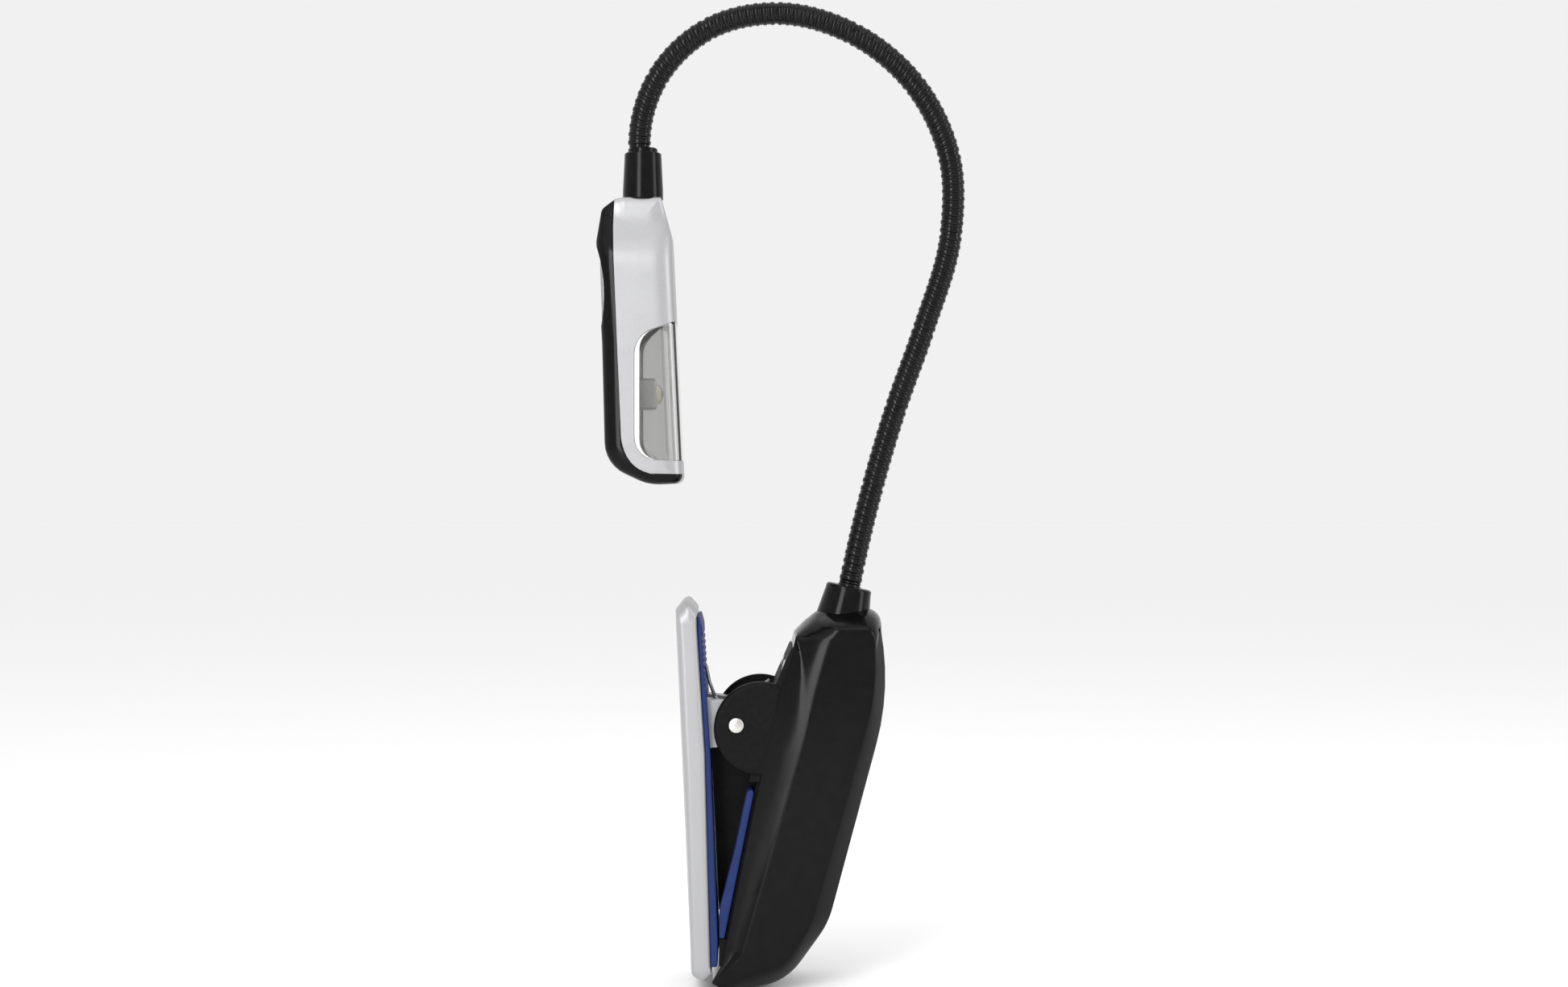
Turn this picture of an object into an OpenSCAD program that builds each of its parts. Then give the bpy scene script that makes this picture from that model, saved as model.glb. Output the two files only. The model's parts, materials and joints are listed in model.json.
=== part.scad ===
// Clip-on reading lamp: a spring clip with a battery housing, a bendable gooseneck and a lamp head.
// The origin is where the two jaws meet. +Z is up, +X is towards the battery housing, and the
// hinge pin of the clip lies along Y.

/* [Clip] */
// Width of the silver lever, along the hinge pin
lever_w = 30; // [28:0.5:31]
// Width of the two grip pads
pad_w = 28; // [24:0.5:29]
// Half width of the stiffening rib between the jaws
rib_half_w = 4.5; // [3:0.5:5]
// Radius of the ears that hold the hinge pin
ear_r = 12; // [11:0.25:12.5]
// Thickness of each ear
ear_t = 2.8; // [2:0.1:3]
// Radius of the hinge pin
pin_r = 1.5; // [1.2:0.1:1.8]
// Radius of the hinge pin's heads
pin_head_r = 1.9; // [1.9:0.1:2.4]
// Radius of the lever's knuckle round the pin
knuckle_r = 5.4; // [4.6:0.1:5.5]

/* [Battery housing] */
// Width of the housing, along the hinge pin
housing_w = 30; // [29.5:0.5:31]
// Thickness of its moulded walls
wall = 1.8; // [1.4:0.1:2]
// Width of the battery door
door_w = 20; // [18:0.5:20.5]
// Gap round the door, the pads and other loose fits
fit_gap = 0.15; // [0.1:0.01:0.2]
// Diameter of one battery cell
cell_d = 10.4; // [10:0.1:10.5]
// Length of one battery cell without its terminal
cell_len = 43.6; // [43:0.1:44]

/* [Gooseneck] */
// Outer diameter of the gooseneck
neck_d = 6; // [5.6:0.1:6.2]
// Diameter of its bore
neck_bore_d = 2.4; // [2:0.1:2.6]
// Diameter of the lead inside it
lead_d = 1.7; // [1.4:0.1:1.8]
// Radius of the ball at each link's end
ball_r = 2.4; // [2.2:0.05:2.5]
// Gap between a ball and its socket
ball_gap = 0.15; // [0.1:0.01:0.2]
// Length of the open stretch between one link and the next
link_gap = 1.2; // [1.1:0.05:1.5]

/* [Lamp head] */
// Width of the head, along the hinge pin
head_w = 24; // [22:0.5:26]
// Thickness of the head's shells
head_wall = 1.6; // [1.4:0.1:1.8]
// Width of the clear window
lens_w = 21; // [20:0.5:22]
// Diameter of the lamp's light-emitting diode
led_d = 5; // [4.8:0.1:5.2]
// Width of the thumb button on the back of the head
button_w = 8; // [7:0.5:9]
// Length of the thumb button
button_len = 20; // [18:0.5:21]

/* [Hidden] */
$fn = 48;
LINKS = 13;
eps = 0.01;          // how far a cut runs past a face
screw_r = 1;         // shank of every screw
screw_head_r = 1.9;  // head of every screw
screw_fit = 0.05;    // gap round a screw's shank

// The clip's places, as [x, z]
pin_at = [4.5, 57];
ear_at = [10.8, 56];
ear_inner_y = 11.5;
knuckle_outer_y = 11;
knuckle_inner_y = 4.9;
pin_gap = 0.05;      // running fit of the knuckle on the pin
ear_gap = 0.3;       // gap between the knuckle's ends and the ears

neck_head = 8.6;     // straight length of the neck inside the head's ferrule
neck_fit = 0.03;     // gap between the neck and what grips it
// The neck leaves the collar at neck_at, leaning neck_lean from the vertical. Each of its
// stretches is an arc: [length, angle it turns towards +X, number of links].
neck_at = [34, 92.3];
neck_lean = 12;
neck_stretches = [
    [5, 0, 1], [64, 9, 3], [26, -10, 1], [83.3, -98.5, 4], [55.8, -93.5, 3], [neck_head, 0, 1]
];
neck_foot = 13;      // straight length of the neck inside the housing

// The battery cells stand in a frame of their own, leaning with the housing.
bay_at = [22.2, 34.5];
bay_lean = 13.5;
bay_low = -26.4;     // ends of the battery tray, along the bay
bay_high = 24.2;
door_low = -28;      // ends of the battery door, along the bay
door_high = 43;
cell_x = 4.55;       // the cells' distance from the bay's middle: one in front, two behind
cell_y = 5.3;        // half the distance between the two cells behind

/* --- outlines: each point is [x, z, corner radius] --- */

// The housing's side outline, from the jaw tip along the bottom, up the back and down the front
housing_outline = [
    [-1.9, -8.8, 0.8], [2.5, -11.4, 4], [17.2, -8.9, 12], [28.2, 6, 16], [44.7, 67, 60],
    [41.4, 86.2, 3], [25.8, 86.2, 3], [19.3, 80.2, 0.8], [19.1, 77, 0], [15.2, 64, 40],
    [10.1, 40, 40], [1.0, -4, 2]
];
// The flat part of the housing's sides, inside the bevel along its top and back
side_outline = [
    [-1.9, -8.8, 0.8], [2.5, -11, 4], [15, -6.8, 10], [22.4, 5.6, 14], [39.8, 66, 60],
    [37.6, 80.6, 5], [25.8, 81.4, 5], [20.2, 79, 2], [19.1, 77, 0], [15.2, 64, 40],
    [10.1, 40, 40], [1.0, -4, 2]
];
bevel_w = 4.6;       // width of that bevel
// The front plate behind the ears, over the housing's front edge
front_skin = [
    [7.7, 42.6, 0.4], [10.55, 42.6, 0], [15.2, 64, 40], [18.9, 76.6, 0.2], [17.9, 76.6, 0.8],
    [12.9, 64, 20]
];
// Where the ears end, just in front of the housing's sides
ear_side = [
    [-3, 43, 0], [10.5, 43, 0], [15.1, 64, 40], [16.5, 69, 0], [-3, 69, 0]
];
// The room in front of the housing's sides, where the jaws and the front plate are
front_room = [
    [-8, -8.6, 0], [-1.78, -8.6, 0], [1.0, -4, 2], [10.1, 40, 40], [15.2, 64, 0], [-8, 64, 0]
];
// The part of the front plate that closes the housing
front_web = [
    [0.8, -2, 0.4], [3.6, -2, 0.4], [12, 40, 40], [17, 64, 40], [20.6, 76.2, 0.4],
    [18.8, 76.2, 0.4], [15.2, 64, 40], [9.2, 40, 40]
];
// The plate's lip, which fills the tip of the jaw below the soft pad
jaw_lip = [
    [0.1, -5.3, 0], [0.1, 2.4, 0.3], [2.9, 2.4, 0], [2.0, -2.1, 0], [1.3, -2.1, 0], [0.95, -4, 0]
];
// The lever's side outline
lever_outline = [
    [-7.2, -7.2, 1.6], [-3.9, -9.1, 1.2], [-1.7, -6.9, 0.8], [-2.1, -4.6, 0], [-3.5, 50, 90],
    [-5.4, 82, 20], [-5.6, 86.8, 1], [-8.5, 89.3, 1.2], [-11.2, 86, 2], [-9.4, 47, 200]
];
// The lever's soft pad, on the face towards the other jaw
lever_pad_outline = [
    [-2.1, -4.6, 0], [-0.2, -4.6, 0.8], [-0.2, 3, 20], [-2.1, 50, 60], [-4.1, 82, 0],
    [-4.8, 84.6, 0], [-5.4, 84.6, 0], [-5.4, 82, 20], [-3.5, 50, 90]
];
// The head's side outline, from its top front corner down the back
head_outline = [
    [-15, 193.2, 0.6], [-24.6, 193.2, 0.6], [-27.4, 192.2, 2], [-31.6, 187, 8],
    [-30, 155, 90], [-29.2, 123.4, 9], [-18, 118.2, 12], [-9.2, 118.6, 2.2],
    [-12.2, 182.6, 6]
];
// The line where the head's front shell meets its rear shell, and the front shell's region
head_split = [
    [-27, 195, 0], [-27.2, 185, 30], [-24.8, 128, 12], [-21, 121.2, 8], [-6, 120.9, 0],
    [-6, 195, 0]
];
// The clear window, seen from the side
window_outline = [
    [-21.6, 124.4, 6], [-6, 124.4, 0], [-6, 162.1, 0], [-21.6, 156.3, 6.5]
];

/* --- geometry helpers --- */

function unit(v) = v / norm(v);
function turned(v, a) = [v.x * cos(a) - v.y * sin(a), v.x * sin(a) + v.y * cos(a)];
function flat(lists) = [for (l = lists) each l];

// The points of one rounded corner at p, between its neighbours a and b
function corner(p, a, b, r) =
    let (u = unit(a - p), v = unit(b - p), turn = 180 - acos(u * v))
    r <= 0 || turn < 1 ? [p] :
    let (
        centre = p + unit(u + v) * (r / cos(turn / 2)),
        start = p + u * (r * tan(turn / 2)) - centre,
        way = u.x * v.y - u.y * v.x > 0 ? -1 : 1,
        steps = max(2, ceil(turn / 9))
    )
    [for (k = [0:steps]) centre + turned(start, way * turn * k / steps)];

// An outline with its corners rounded
function rounded(outline) =
    let (n = len(outline), at = [for (p = outline) [p[0], p[1]]])
    flat([for (i = [0:n - 1]) corner(at[i], at[(i + n - 1) % n], at[(i + 1) % n], outline[i][2])]);

// An outline drawn inwards by d: its corners move along the bisector and their radii shrink
function inset(outline, d) =
    let (
        n = len(outline), at = [for (p = outline) [p[0], p[1]]],
        area = [for (i = [0:n - 1]) at[i].x * at[(i + 1) % n].y - at[i].y * at[(i + 1) % n].x],
        side = sum(area) > 0 ? 1 : -1
    )
    [for (i = [0:n - 1])
        let (
            u = unit(at[i] - at[(i + n - 1) % n]), v = unit(at[(i + 1) % n] - at[i]),
            n1 = side * [-u.y, u.x], n2 = side * [-v.y, v.x],
            bulge = side * (u.x * v.y - u.y * v.x) > 0 ? -d : d,
            p = at[i] + d * (n1 + n2) / (1 + n1 * n2)
        )
        [p.x, p.y, outline[i][2] == 0 ? 0 : max(0.2, outline[i][2] + bulge)]];
function sum(v, i = 0) = i == len(v) ? 0 : v[i] + sum(v, i + 1);

// A prism of an [x, z] outline, width wide along Y and centred on it
module prism(outline, width) {
    rotate([90, 0, 0]) linear_extrude(width, center = true) polygon(rounded(outline));
}

// A cylinder along Y at [x, z], from y0 to y1
module rod_y(at, r, y0, y1) {
    translate([at[0], y1, at[1]]) rotate([90, 0, 0]) cylinder(r = r, h = y1 - y0);
}

// A box between two corners
module block(low, high) {
    translate(low) cube(high - low);
}

// A round wire of radius r along a path, with the given number of sides
function wire_rings(path, r, sides) =
    let (
        n = len(path),
        ahead = [for (i = [0:n - 1]) unit(path[min(i + 1, n - 1)] - path[max(i - 1, 0)])],
        first = unit(cross(ahead[0], abs(ahead[0].z) < 0.9 ? [0, 0, 1] : [1, 0, 0]))
    )
    [for (
        i = 0, e = first;
        i < n;
        i = i + 1, e = i < n ? unit(e - ahead[i] * (e * ahead[i])) : e
    ) [for (k = [0:sides - 1])
        let (a = 360 * k / sides) path[i] + r * (cos(a) * e + sin(a) * cross(ahead[i], e))]];

module wire(path, r, sides = 8) {
    n = len(path);
    around = [for (i = [0:n - 2], k = [0:sides - 1])
        let (a = i * sides + k, b = i * sides + (k + 1) % sides)
        [a, a + sides, b + sides, b]];
    start = [for (k = [0:sides - 1]) k];
    end = [for (k = [sides - 1:-1:0]) (n - 1) * sides + k];
    polyhedron(flat(wire_rings(path, r, sides)), concat(around, [start, end]), convexity = 4);
}

/* --- the gooseneck's frames --- */

neck_arcs = [for (s = neck_stretches) for (k = [1:s[2]]) [s[0] / s[2], s[1] / s[2]]];

// Where link i starts on the neck's curve, as [x, z, lean]
function link_start(i) =
    i == 1 ? [neck_at[0], neck_at[1], neck_lean] :
    let (
        before = link_start(i - 1), arc = neck_arcs[i - 2], half = arc[1] / 2,
        chord = half == 0 ? arc[0] : arc[0] * sin(half) / (half * PI / 180),
        lean = before[2] + half
    )
    [before[0] + chord * sin(lean), before[1] + chord * cos(lean), before[2] + arc[1]];

// Puts a piece that stands on the origin at the start of link i, along the neck's curve
module at_start(i) {
    start = link_start(i);
    translate([start[0], 0, start[1]]) rotate([0, start[2], 0]) children();
}

// The same, along the straight axis of link i
module at_link(i) {
    start = link_start(i);
    translate([start[0], 0, start[1]]) rotate([0, start[2] + neck_arcs[i - 1][1] / 2, 0])
        children();
}
function link_len(i) = let (a = link_start(i), b = link_start(i + 1)) norm([b[0] - a[0], b[1] - a[1]]);

// One link: a tube with a socket at its start and a ball at its end. Its ends are cut square
// to the neck's curve, so that the gap to the next link is even.
module neck_link(i) {
    outer = neck_d / 2;
    bore = neck_bore_d / 2;
    long = link_len(i);
    last = i == LINKS;
    low = i == 1 ? -neck_foot : -outer;
    color([0.05, 0.05, 0.06]) difference() {
        union() {
            intersection() {
                at_link(i) translate([0, 0, low]) cylinder(r = outer, h = long + 2 * outer - low);
                if (i > 1) at_start(i) block([-9, -9, 0], [9, 9, 40]);
                at_start(i + 1) block([-9, -9, -60], [9, 9, last ? 0 : -link_gap]);
            }
            if (!last) {
                at_start(i + 1) sphere(r = ball_r);
                at_link(i) translate([0, 0, long - 4]) cylinder(r = ball_r * 0.8, h = 4);
            }
        }
        if (i > 1) at_start(i) sphere(r = ball_r + ball_gap);
        at_link(i) translate([0, 0, low - 2]) cylinder(r = bore, h = long - low + 8);
    }
}

// The stretch of the lead inside one link
module neck_lead(i) {
    low = i == 1 ? -neck_foot : ball_r + 0.4;
    high = link_len(i) - (i == LINKS ? 0 : 1);
    color([0.6, 0.1, 0.08])
        at_link(i) translate([0, 0, low]) cylinder(r = lead_d / 2, h = high - low);
}

/* --- the clip and the battery housing --- */

// Puts a piece in the battery bay's leaning frame
module in_bay() {
    translate([bay_at[0], 0, bay_at[1]]) rotate([0, bay_lean, 0]) children();
}

// The housing's outer form, or its inner form when drawn inwards by d
module housing_form(d) {
    hull() {
        prism(inset(housing_outline, d), housing_w - 2 * bevel_w);
        prism(inset(side_outline, d), housing_w - 2 * d);
    }
}

// The stretch of the housing's back that the battery door fills
module door_form(gap) {
    in_bay() block(
        [2, -door_w / 2 - gap, door_low - gap],
        [30, door_w / 2 + gap, door_high + gap]
    );
}

// The housing's four screws go through the front plate, two on each side
screw_spots = [[17.6, 71.2], [4.1, 7]];
screw_y = 8.6;
screw_lean = 14;
module at_screws() {
    for (side = [0, 1], p = screw_spots)
        mirror([0, side, 0]) translate([p.x, screw_y, p.y]) rotate([0, 90 + screw_lean, 0]) children();
}

module ears() {
    intersection() {
        for (side = [-1, 1])
            translate([0, side * (ear_inner_y + ear_t / 2), 0])
                rod_y(ear_at, ear_r, -ear_t / 2, ear_t / 2);
        prism(ear_side, 2 * (ear_inner_y + ear_t) + 2);
    }
}

module front_plate() {
    rib = [
        [-1.75, 50.4, 0.6], [9, 50.4, 0], [9, 42.6, 0], [10.6, 40, 0], [4.6, 10.5, 0],
        [0.15, 8, 0.4]
    ];
    color([0.08, 0.08, 0.085]) difference() {
        union() {
            prism(front_web, housing_w - 2 * wall - 2 * fit_gap);
            prism(jaw_lip, housing_w - 2 * wall - 2 * fit_gap);
            prism(front_skin, housing_w);
            prism(rib, 2 * rib_half_w);
            ears();
        }
        rod_y(pin_at, pin_r + pin_gap, -20, 20);
        rod_y(pin_at, knuckle_r + 0.4, -knuckle_outer_y - ear_gap, knuckle_outer_y + ear_gap);
        at_screws() {
            cylinder(r = screw_r + screw_fit, h = 6);
            translate([0, 0, -10]) cylinder(r = screw_head_r + 0.1, h = 10);
        }
    }
}

module rear_shell() {
    opening = [
        [-8, -2.2, 0], [4.6, -2.2, 0.4], [12.1, 40, 40], [17.2, 64, 40], [20.8, 76.4, 0.4],
        [12, 76.4, 0]
    ];
    boss_r = 2.6;
    color([0.1, 0.1, 0.11]) difference() {
        union() {
            difference() {
                housing_form(0);
                housing_form(wall);
            }
            intersection() {
                housing_form(wall / 2);
                at_screws() {
                    translate([0, 0, 1.6]) cylinder(r = boss_r, h = 8.4);
                    block([-boss_r, 0, 1.6], [boss_r, 6, 10]);
                }
            }
        }
        prism(opening, housing_w - 2 * wall);
        prism(front_room, housing_w + 2);
        door_form(fit_gap);
        at_screws() cylinder(r = screw_r + screw_fit, h = 9);
        at_link(1) translate([0, 0, -neck_foot - 2]) cylinder(r = collar_tail_r + 0.05, h = 20);
    }
}

module battery_door() {
    grip_pitch = 1.6;
    grip_r = 0.5;
    grip_w = 11;
    grip_from_end = 6;
    color([0.12, 0.12, 0.13]) difference() {
        intersection() {
            difference() {
                housing_form(0);
                housing_form(wall);
            }
            door_form(0);
        }
        // grooves for a thumb, across the door's foot
        for (k = [0:4])
            in_bay() translate([14.4 - k * 0.04, 0, door_low + grip_from_end + k * grip_pitch])
                rotate([90, 0, 0]) cylinder(r = grip_r, h = grip_w, center = true);
    }
}

collar_tail_r = 4.4;
module neck_collar() {
    color([0.07, 0.07, 0.08]) difference() {
        union() {
            difference() {
                at_link(1) union() {
                    translate([0, 0, -11]) cylinder(r1 = 7.6, r2 = 6.1, h = 9.4);
                    translate([0, 0, -1.61]) cylinder(r1 = 6.1, r2 = 5.5, h = 0.8);
                }
                housing_form(0);
            }
            at_link(1) translate([0, 0, -8.4]) cylinder(r = collar_tail_r, h = 4);
        }
        at_link(1) translate([0, 0, -12]) cylinder(r = neck_d / 2 + neck_fit, h = 14);
    }
}

// The crimped bush that keeps the neck's foot in the housing
module neck_bush() {
    color([0.75, 0.6, 0.3]) at_link(1) translate([0, 0, -12.6]) difference() {
        union() {
            cylinder(r = 5.4, h = 1.6);
            cylinder(r = 4.2, h = 4.1);
        }
        translate([0, 0, -1]) cylinder(r = neck_d / 2 + neck_fit, h = 7);
    }
}

module fixed_pad() {
    face = [
        [1.45, 2.6, 0.4], [9.0, 39.7, 0.8], [8.6, 40.9, 0.6], [7.2, 40, 1.2], [4.0, 25, 40],
        [0.15, 10, 14], [0.15, 2.8, 0.4]
    ];
    color([0.12, 0.2, 0.42]) difference() {
        prism(face, pad_w);
        at_screws() translate([0, 0, -1.6]) cylinder(r = screw_head_r + 0.2, h = 3);
        translate([0, 0, 4]) prism([[-4, 2, 0], [12, 2, 0], [12, 44, 0], [-4, 44, 0]],
            2 * rib_half_w + 2 * fit_gap);
    }
}

module hinge_pin() {
    end_y = ear_inner_y + ear_t;
    head_t = 0.7;
    color([0.75, 0.75, 0.76]) {
        rod_y(pin_at, pin_r, -end_y, end_y);
        rod_y(pin_at, pin_head_r, -end_y - head_t, -end_y);
        rod_y(pin_at, pin_head_r, end_y, end_y + head_t);
    }
}

/* the clip's torsion spring: a coil with a fixed arm, and the arm that the lever carries */
spring_r = 2.9;
spring_wire_r = 0.45;
spring_turns = 6;
spring_pitch = 1.12;
spring_half = spring_turns * spring_pitch / 2;
arm_y = -spring_half - 1;    // the lever's arm runs beside the coil

module spring_coil() {
    steps = 20;
    coil = [for (k = [0:spring_turns * steps])
        let (a = 130 - 360 * k / steps)
        [
            pin_at[0] + spring_r * cos(a), -spring_half + spring_pitch * k / steps,
            pin_at[1] + spring_r * sin(a)
        ]];
    last = coil[len(coil) - 1];
    arm = [for (k = [1:5]) last + k * [2.1, 0, 1.6]];
    color([0.6, 0.6, 0.62]) wire(concat(coil, arm), spring_wire_r);
}

module spring_arm() {
    route = [[1.6, 2.9], [-1.2, 3], [-3.4, 3.8], [-5.6, 6.6], [-7, 10.5], [-7.8, 14.5]];
    color([0.6, 0.6, 0.62])
        wire([for (p = route) [pin_at[0] + p[0], arm_y, pin_at[1] + p[1]]], spring_wire_r);
}

module lever() {
    knuckle = [[-4.6, 50.7, 0.4], [3.4, 51.5, 2], [3.4, 62.5, 2], [-4.6, 63.6, 0.4]];
    color([0.72, 0.72, 0.74]) difference() {
        union() {
            prism(lever_outline, lever_w);
            for (side = [-1, 1])
                translate([0, side * (knuckle_outer_y + knuckle_inner_y) / 2, 0]) {
                    w = knuckle_outer_y - knuckle_inner_y;
                    prism(knuckle, w);
                    rod_y(pin_at, knuckle_r, -w / 2, w / 2);
                }
        }
        rod_y(pin_at, pin_r + pin_gap, -20, 20);
    }
}

module lever_pad() {
    grip_r = 0.9;
    grip_step = 2.3;
    color([0.12, 0.2, 0.42]) difference() {
        prism(lever_pad_outline, pad_w);
        block(
            [-8, -knuckle_outer_y - fit_gap, 50.5],
            [2, knuckle_outer_y + fit_gap, 63.8]
        );
        block([-8, arm_y - 0.6, 60], [2, arm_y + 0.6, 75]);
        // scalloped finger grips
        for (k = [0:6])
            rod_y([-2.75 - k * 0.22, 66.4 + k * grip_step], grip_r, -pad_w, pad_w);
    }
}

/* --- battery bay --- */
module at_cells() {
    in_bay() for (p = [[-cell_x, 0], [cell_x, -cell_y], [cell_x, cell_y]])
        translate([p[0], p[1], 0]) children();
}
cell_seat = 22.6;    // half the length of a cell with its terminal

module battery_tray() {
    end_t = 1.2;
    side_y = cell_y + cell_d / 2 + 0.35;
    color([0.2, 0.2, 0.21]) intersection() {
        housing_form(wall + 0.1);
        in_bay() difference() {
            block([-9.4, -side_y - 1.1, bay_low], [9.6, side_y + 1.1, bay_high]);
            block([-12, -side_y, bay_low + end_t], [12, side_y, bay_high - end_t]);
        }
    }
}

module battery_cells() {
    color([0.75, 0.6, 0.25]) at_cells() {
        translate([0, 0, -cell_seat]) cylinder(r = cell_d / 2, h = cell_len);
        translate([0, 0, cell_len - cell_seat]) cylinder(r = 1.9, h = 0.9);
    }
}

module cell_springs() {
    turns = 3;
    steps = 14;
    low = bay_low + 1.2 + 0.35;
    room = -cell_seat - low - 0.3;
    color([0.75, 0.75, 0.75]) at_cells()
        wire([for (k = [0:turns * steps])
            let (t = k / (turns * steps), a = 360 * k / steps, r = 3.4 - 1.6 * t)
            [r * cos(a), r * sin(a), low + room * t]], 0.28, 6);
}

module cell_plates() {
    t = 0.4;
    high = bay_high - 1.2 - 0.05;
    color([0.78, 0.78, 0.75]) at_cells()
        translate([-3.6, -3.6, high - t]) cube([7.2, 7.2, t]);
}

// The lead from the battery contacts up to the neck's foot
module base_lead() {
    foot = link_start(1);
    axis = [sin(neck_lean), 0, cos(neck_lean)];
    end = [foot[0], 0, foot[1]] - 13.4 * axis;
    start = [bay_at[0] + 7.2, 0, bay_at[1] + 26.6];
    color([0.6, 0.1, 0.08]) wire([
        start, start + [0.6, 0, 4], start + [0.2, 0, 9], end - 6 * axis, end - 2 * axis, end
    ], lead_d / 2);
}

module housing_screws() {
    color([0.7, 0.7, 0.7]) at_screws() difference() {
        union() {
            cylinder(r = screw_r, h = 8);
            translate([0, 0, -1.3]) cylinder(r = screw_head_r, h = 1.3);
        }
        for (a = [0, 90]) rotate([0, 0, a]) translate([-1.2, -0.2, -1.4]) cube([2.4, 0.4, 0.8]);
    }
}

/* --- the lamp head --- */

// The head's form: its side outline, its front view and its section together
module head_form(d) {
    half = head_w / 2 - d;
    front_view = [
        [-5.6 + d, 194, 0], [-half, 183, 7], [-half, 118 + d, 4], [half, 118 + d, 4],
        [half, 183, 7], [5.6 - d, 194, 0]
    ];
    section = [
        [-32 + d, -half + 4.6, 5], [-24, -half, 8], [-15.4, -half, 8], [-9.4 - d, -half + 5, 5],
        [-9.4 - d, half - 5, 5], [-15.4, half, 8], [-24, half, 8], [-32 + d, half - 4.6, 5]
    ];
    intersection() {
        prism(inset(head_outline, d), head_w + 2);
        rotate([90, 0, 90]) linear_extrude(120, center = true) polygon(rounded(front_view));
        translate([0, 0, 100]) linear_extrude(100) polygon(rounded(section));
    }
}

module head_ferrule() {
    low = 193.3;
    height = 11.6;
    at = [-20.1, low];
    color([0.07, 0.07, 0.08]) difference() {
        translate([at[0], 0, at[1]]) union() {
            cylinder(r1 = 5.3, r2 = 4.6, h = height);
            translate([0, 0, height - eps]) cylinder(r = 3.8, h = 1.2);
        }
        neck_end_bore(neck_d / 2 + neck_fit, neck_head);
        neck_end_bore(lead_d / 2 + 0.2, 30);
    }
}

// The hole that the neck's end fills, going depth past its last link's start
module neck_end_bore(r, depth) {
    at_link(LINKS) translate([0, 0, -1]) cylinder(r = r, h = depth + 1);
}

module head_front_shell() {
    color([0.82, 0.82, 0.84]) difference() {
        union() {
            intersection() {
                difference() {
                    head_form(0);
                    head_form(head_wall);
                }
                prism(head_split, head_w + 2);
            }
            intersection() {
                head_form(head_wall / 2);
                prism(head_split, head_w + 2);
                at_head_screw() translate([0, 0, 5]) cylinder(r = 2.2, h = 16);
            }
        }
        window_form(0);
        at_head_screw() translate([0, 0, 4]) cylinder(r = screw_r + screw_fit, h = 8.4);
        neck_end_bore(lead_d / 2 + 0.3, 30);
    }
}

// The window's hole: it runs across the front and round both sides
module window_form(gap) {
    prism(inset(window_outline, gap), head_w + 2);
}

module head_lens() {
    color([0.85, 0.9, 0.95, 0.4]) intersection() {
        difference() {
            head_form(0);
            head_form(head_wall);
        }
        window_form(fit_gap / 2);
    }
}

button_at = [-30.2, 167];
module head_rear_shell() {
    color([0.09, 0.09, 0.1]) difference() {
        intersection() {
            difference() {
                head_form(0);
                head_form(head_wall);
            }
            difference() {
                prism([[-40, 100, 0], [0, 100, 0], [0, 200, 0], [-40, 200, 0]], head_w + 2);
                prism(head_split, head_w + 4);
            }
        }
        translate([button_at[0], 0, button_at[1]]) block(
            [-5, -button_w / 2 - fit_gap, -button_len / 2 - fit_gap],
            [5, button_w / 2 + fit_gap, button_len / 2 + fit_gap]
        );
        at_head_screw() translate([0, 0, -3]) {
            cylinder(r = screw_r + screw_fit, h = 9);
            cylinder(r = screw_head_r + 0.1, h = 3 + 0.4);
        }
    }
}

// The head's screw enters from the back
head_screw_at = [-30.2, 185];
module at_head_screw() {
    translate([head_screw_at.x, 0, head_screw_at.y]) rotate([0, 90, 0]) children();
}

module head_screw() {
    color([0.7, 0.7, 0.7]) at_head_screw() difference() {
        union() {
            cylinder(r = screw_r, h = 11.5);
            translate([0, 0, -0.6]) cylinder(r = screw_head_r, h = 1);
        }
        for (a = [0, 90]) rotate([0, 0, a]) translate([-1.2, -0.2, -0.7]) cube([2.4, 0.4, 0.6]);
    }
}

board_x = -22;
board_t = 1.2;
module head_board() {
    color([0.1, 0.35, 0.15]) difference() {
        translate([board_x - board_t, -8, 134.5]) cube([board_t, 16, 46]);
        at_head_screw() cylinder(r = 2.6, h = 20);
    }
}

led_z = 141.8;
module led_holder() {
    color([0.25, 0.25, 0.26]) difference() {
        translate([board_x, -4, led_z - 4]) cube([6.2, 8, 8]);
        translate([board_x + 2.9, 0, led_z]) rotate([0, 90, 0]) cylinder(r = 2.95, h = 5);
        for (y = [-1.27, 1.27])
            translate([board_x - 1, y, led_z]) rotate([0, 90, 0]) cylinder(r = 0.4, h = 5);
    }
}

module led() {
    r = led_d / 2;
    color([0.95, 0.93, 0.8]) translate([board_x + 3, 0, led_z]) rotate([0, 90, 0]) {
        cylinder(r = r + 0.4, h = 1);
        cylinder(r = r, h = 3.6);
        translate([0, 0, 3.6]) sphere(r = r);
        for (y = [-1.27, 1.27]) translate([0, y, -3]) cylinder(r = 0.3, h = 3.1);
    }
}

// The white tray behind the window
module reflector() {
    tray = [
        [board_x + 0.2, 127, 0.4], [-14, 126, 0], [-14, 127, 0], [board_x + 1.2, 128, 0.4],
        [board_x + 1.2, 152, 0.4], [-15, 157.4, 0], [-15, 158.4, 0], [board_x + 0.2, 153.4, 0.4]
    ];
    color([0.95, 0.95, 0.94]) difference() {
        prism(tray, lens_w - 3);
        translate([board_x - 1, -4.1, led_z - 4.1]) cube([4, 8.2, 8.2]);
    }
}

module board_parts() {
    color([0.2, 0.2, 0.22]) {
        translate([board_x - board_t - 1.1, -5.6, 147]) cube([1.1, 3.4, 6]);
        translate([board_x - board_t - 0.9, 2, 148]) cube([0.9, 3, 4.4]);
    }
}

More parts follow.
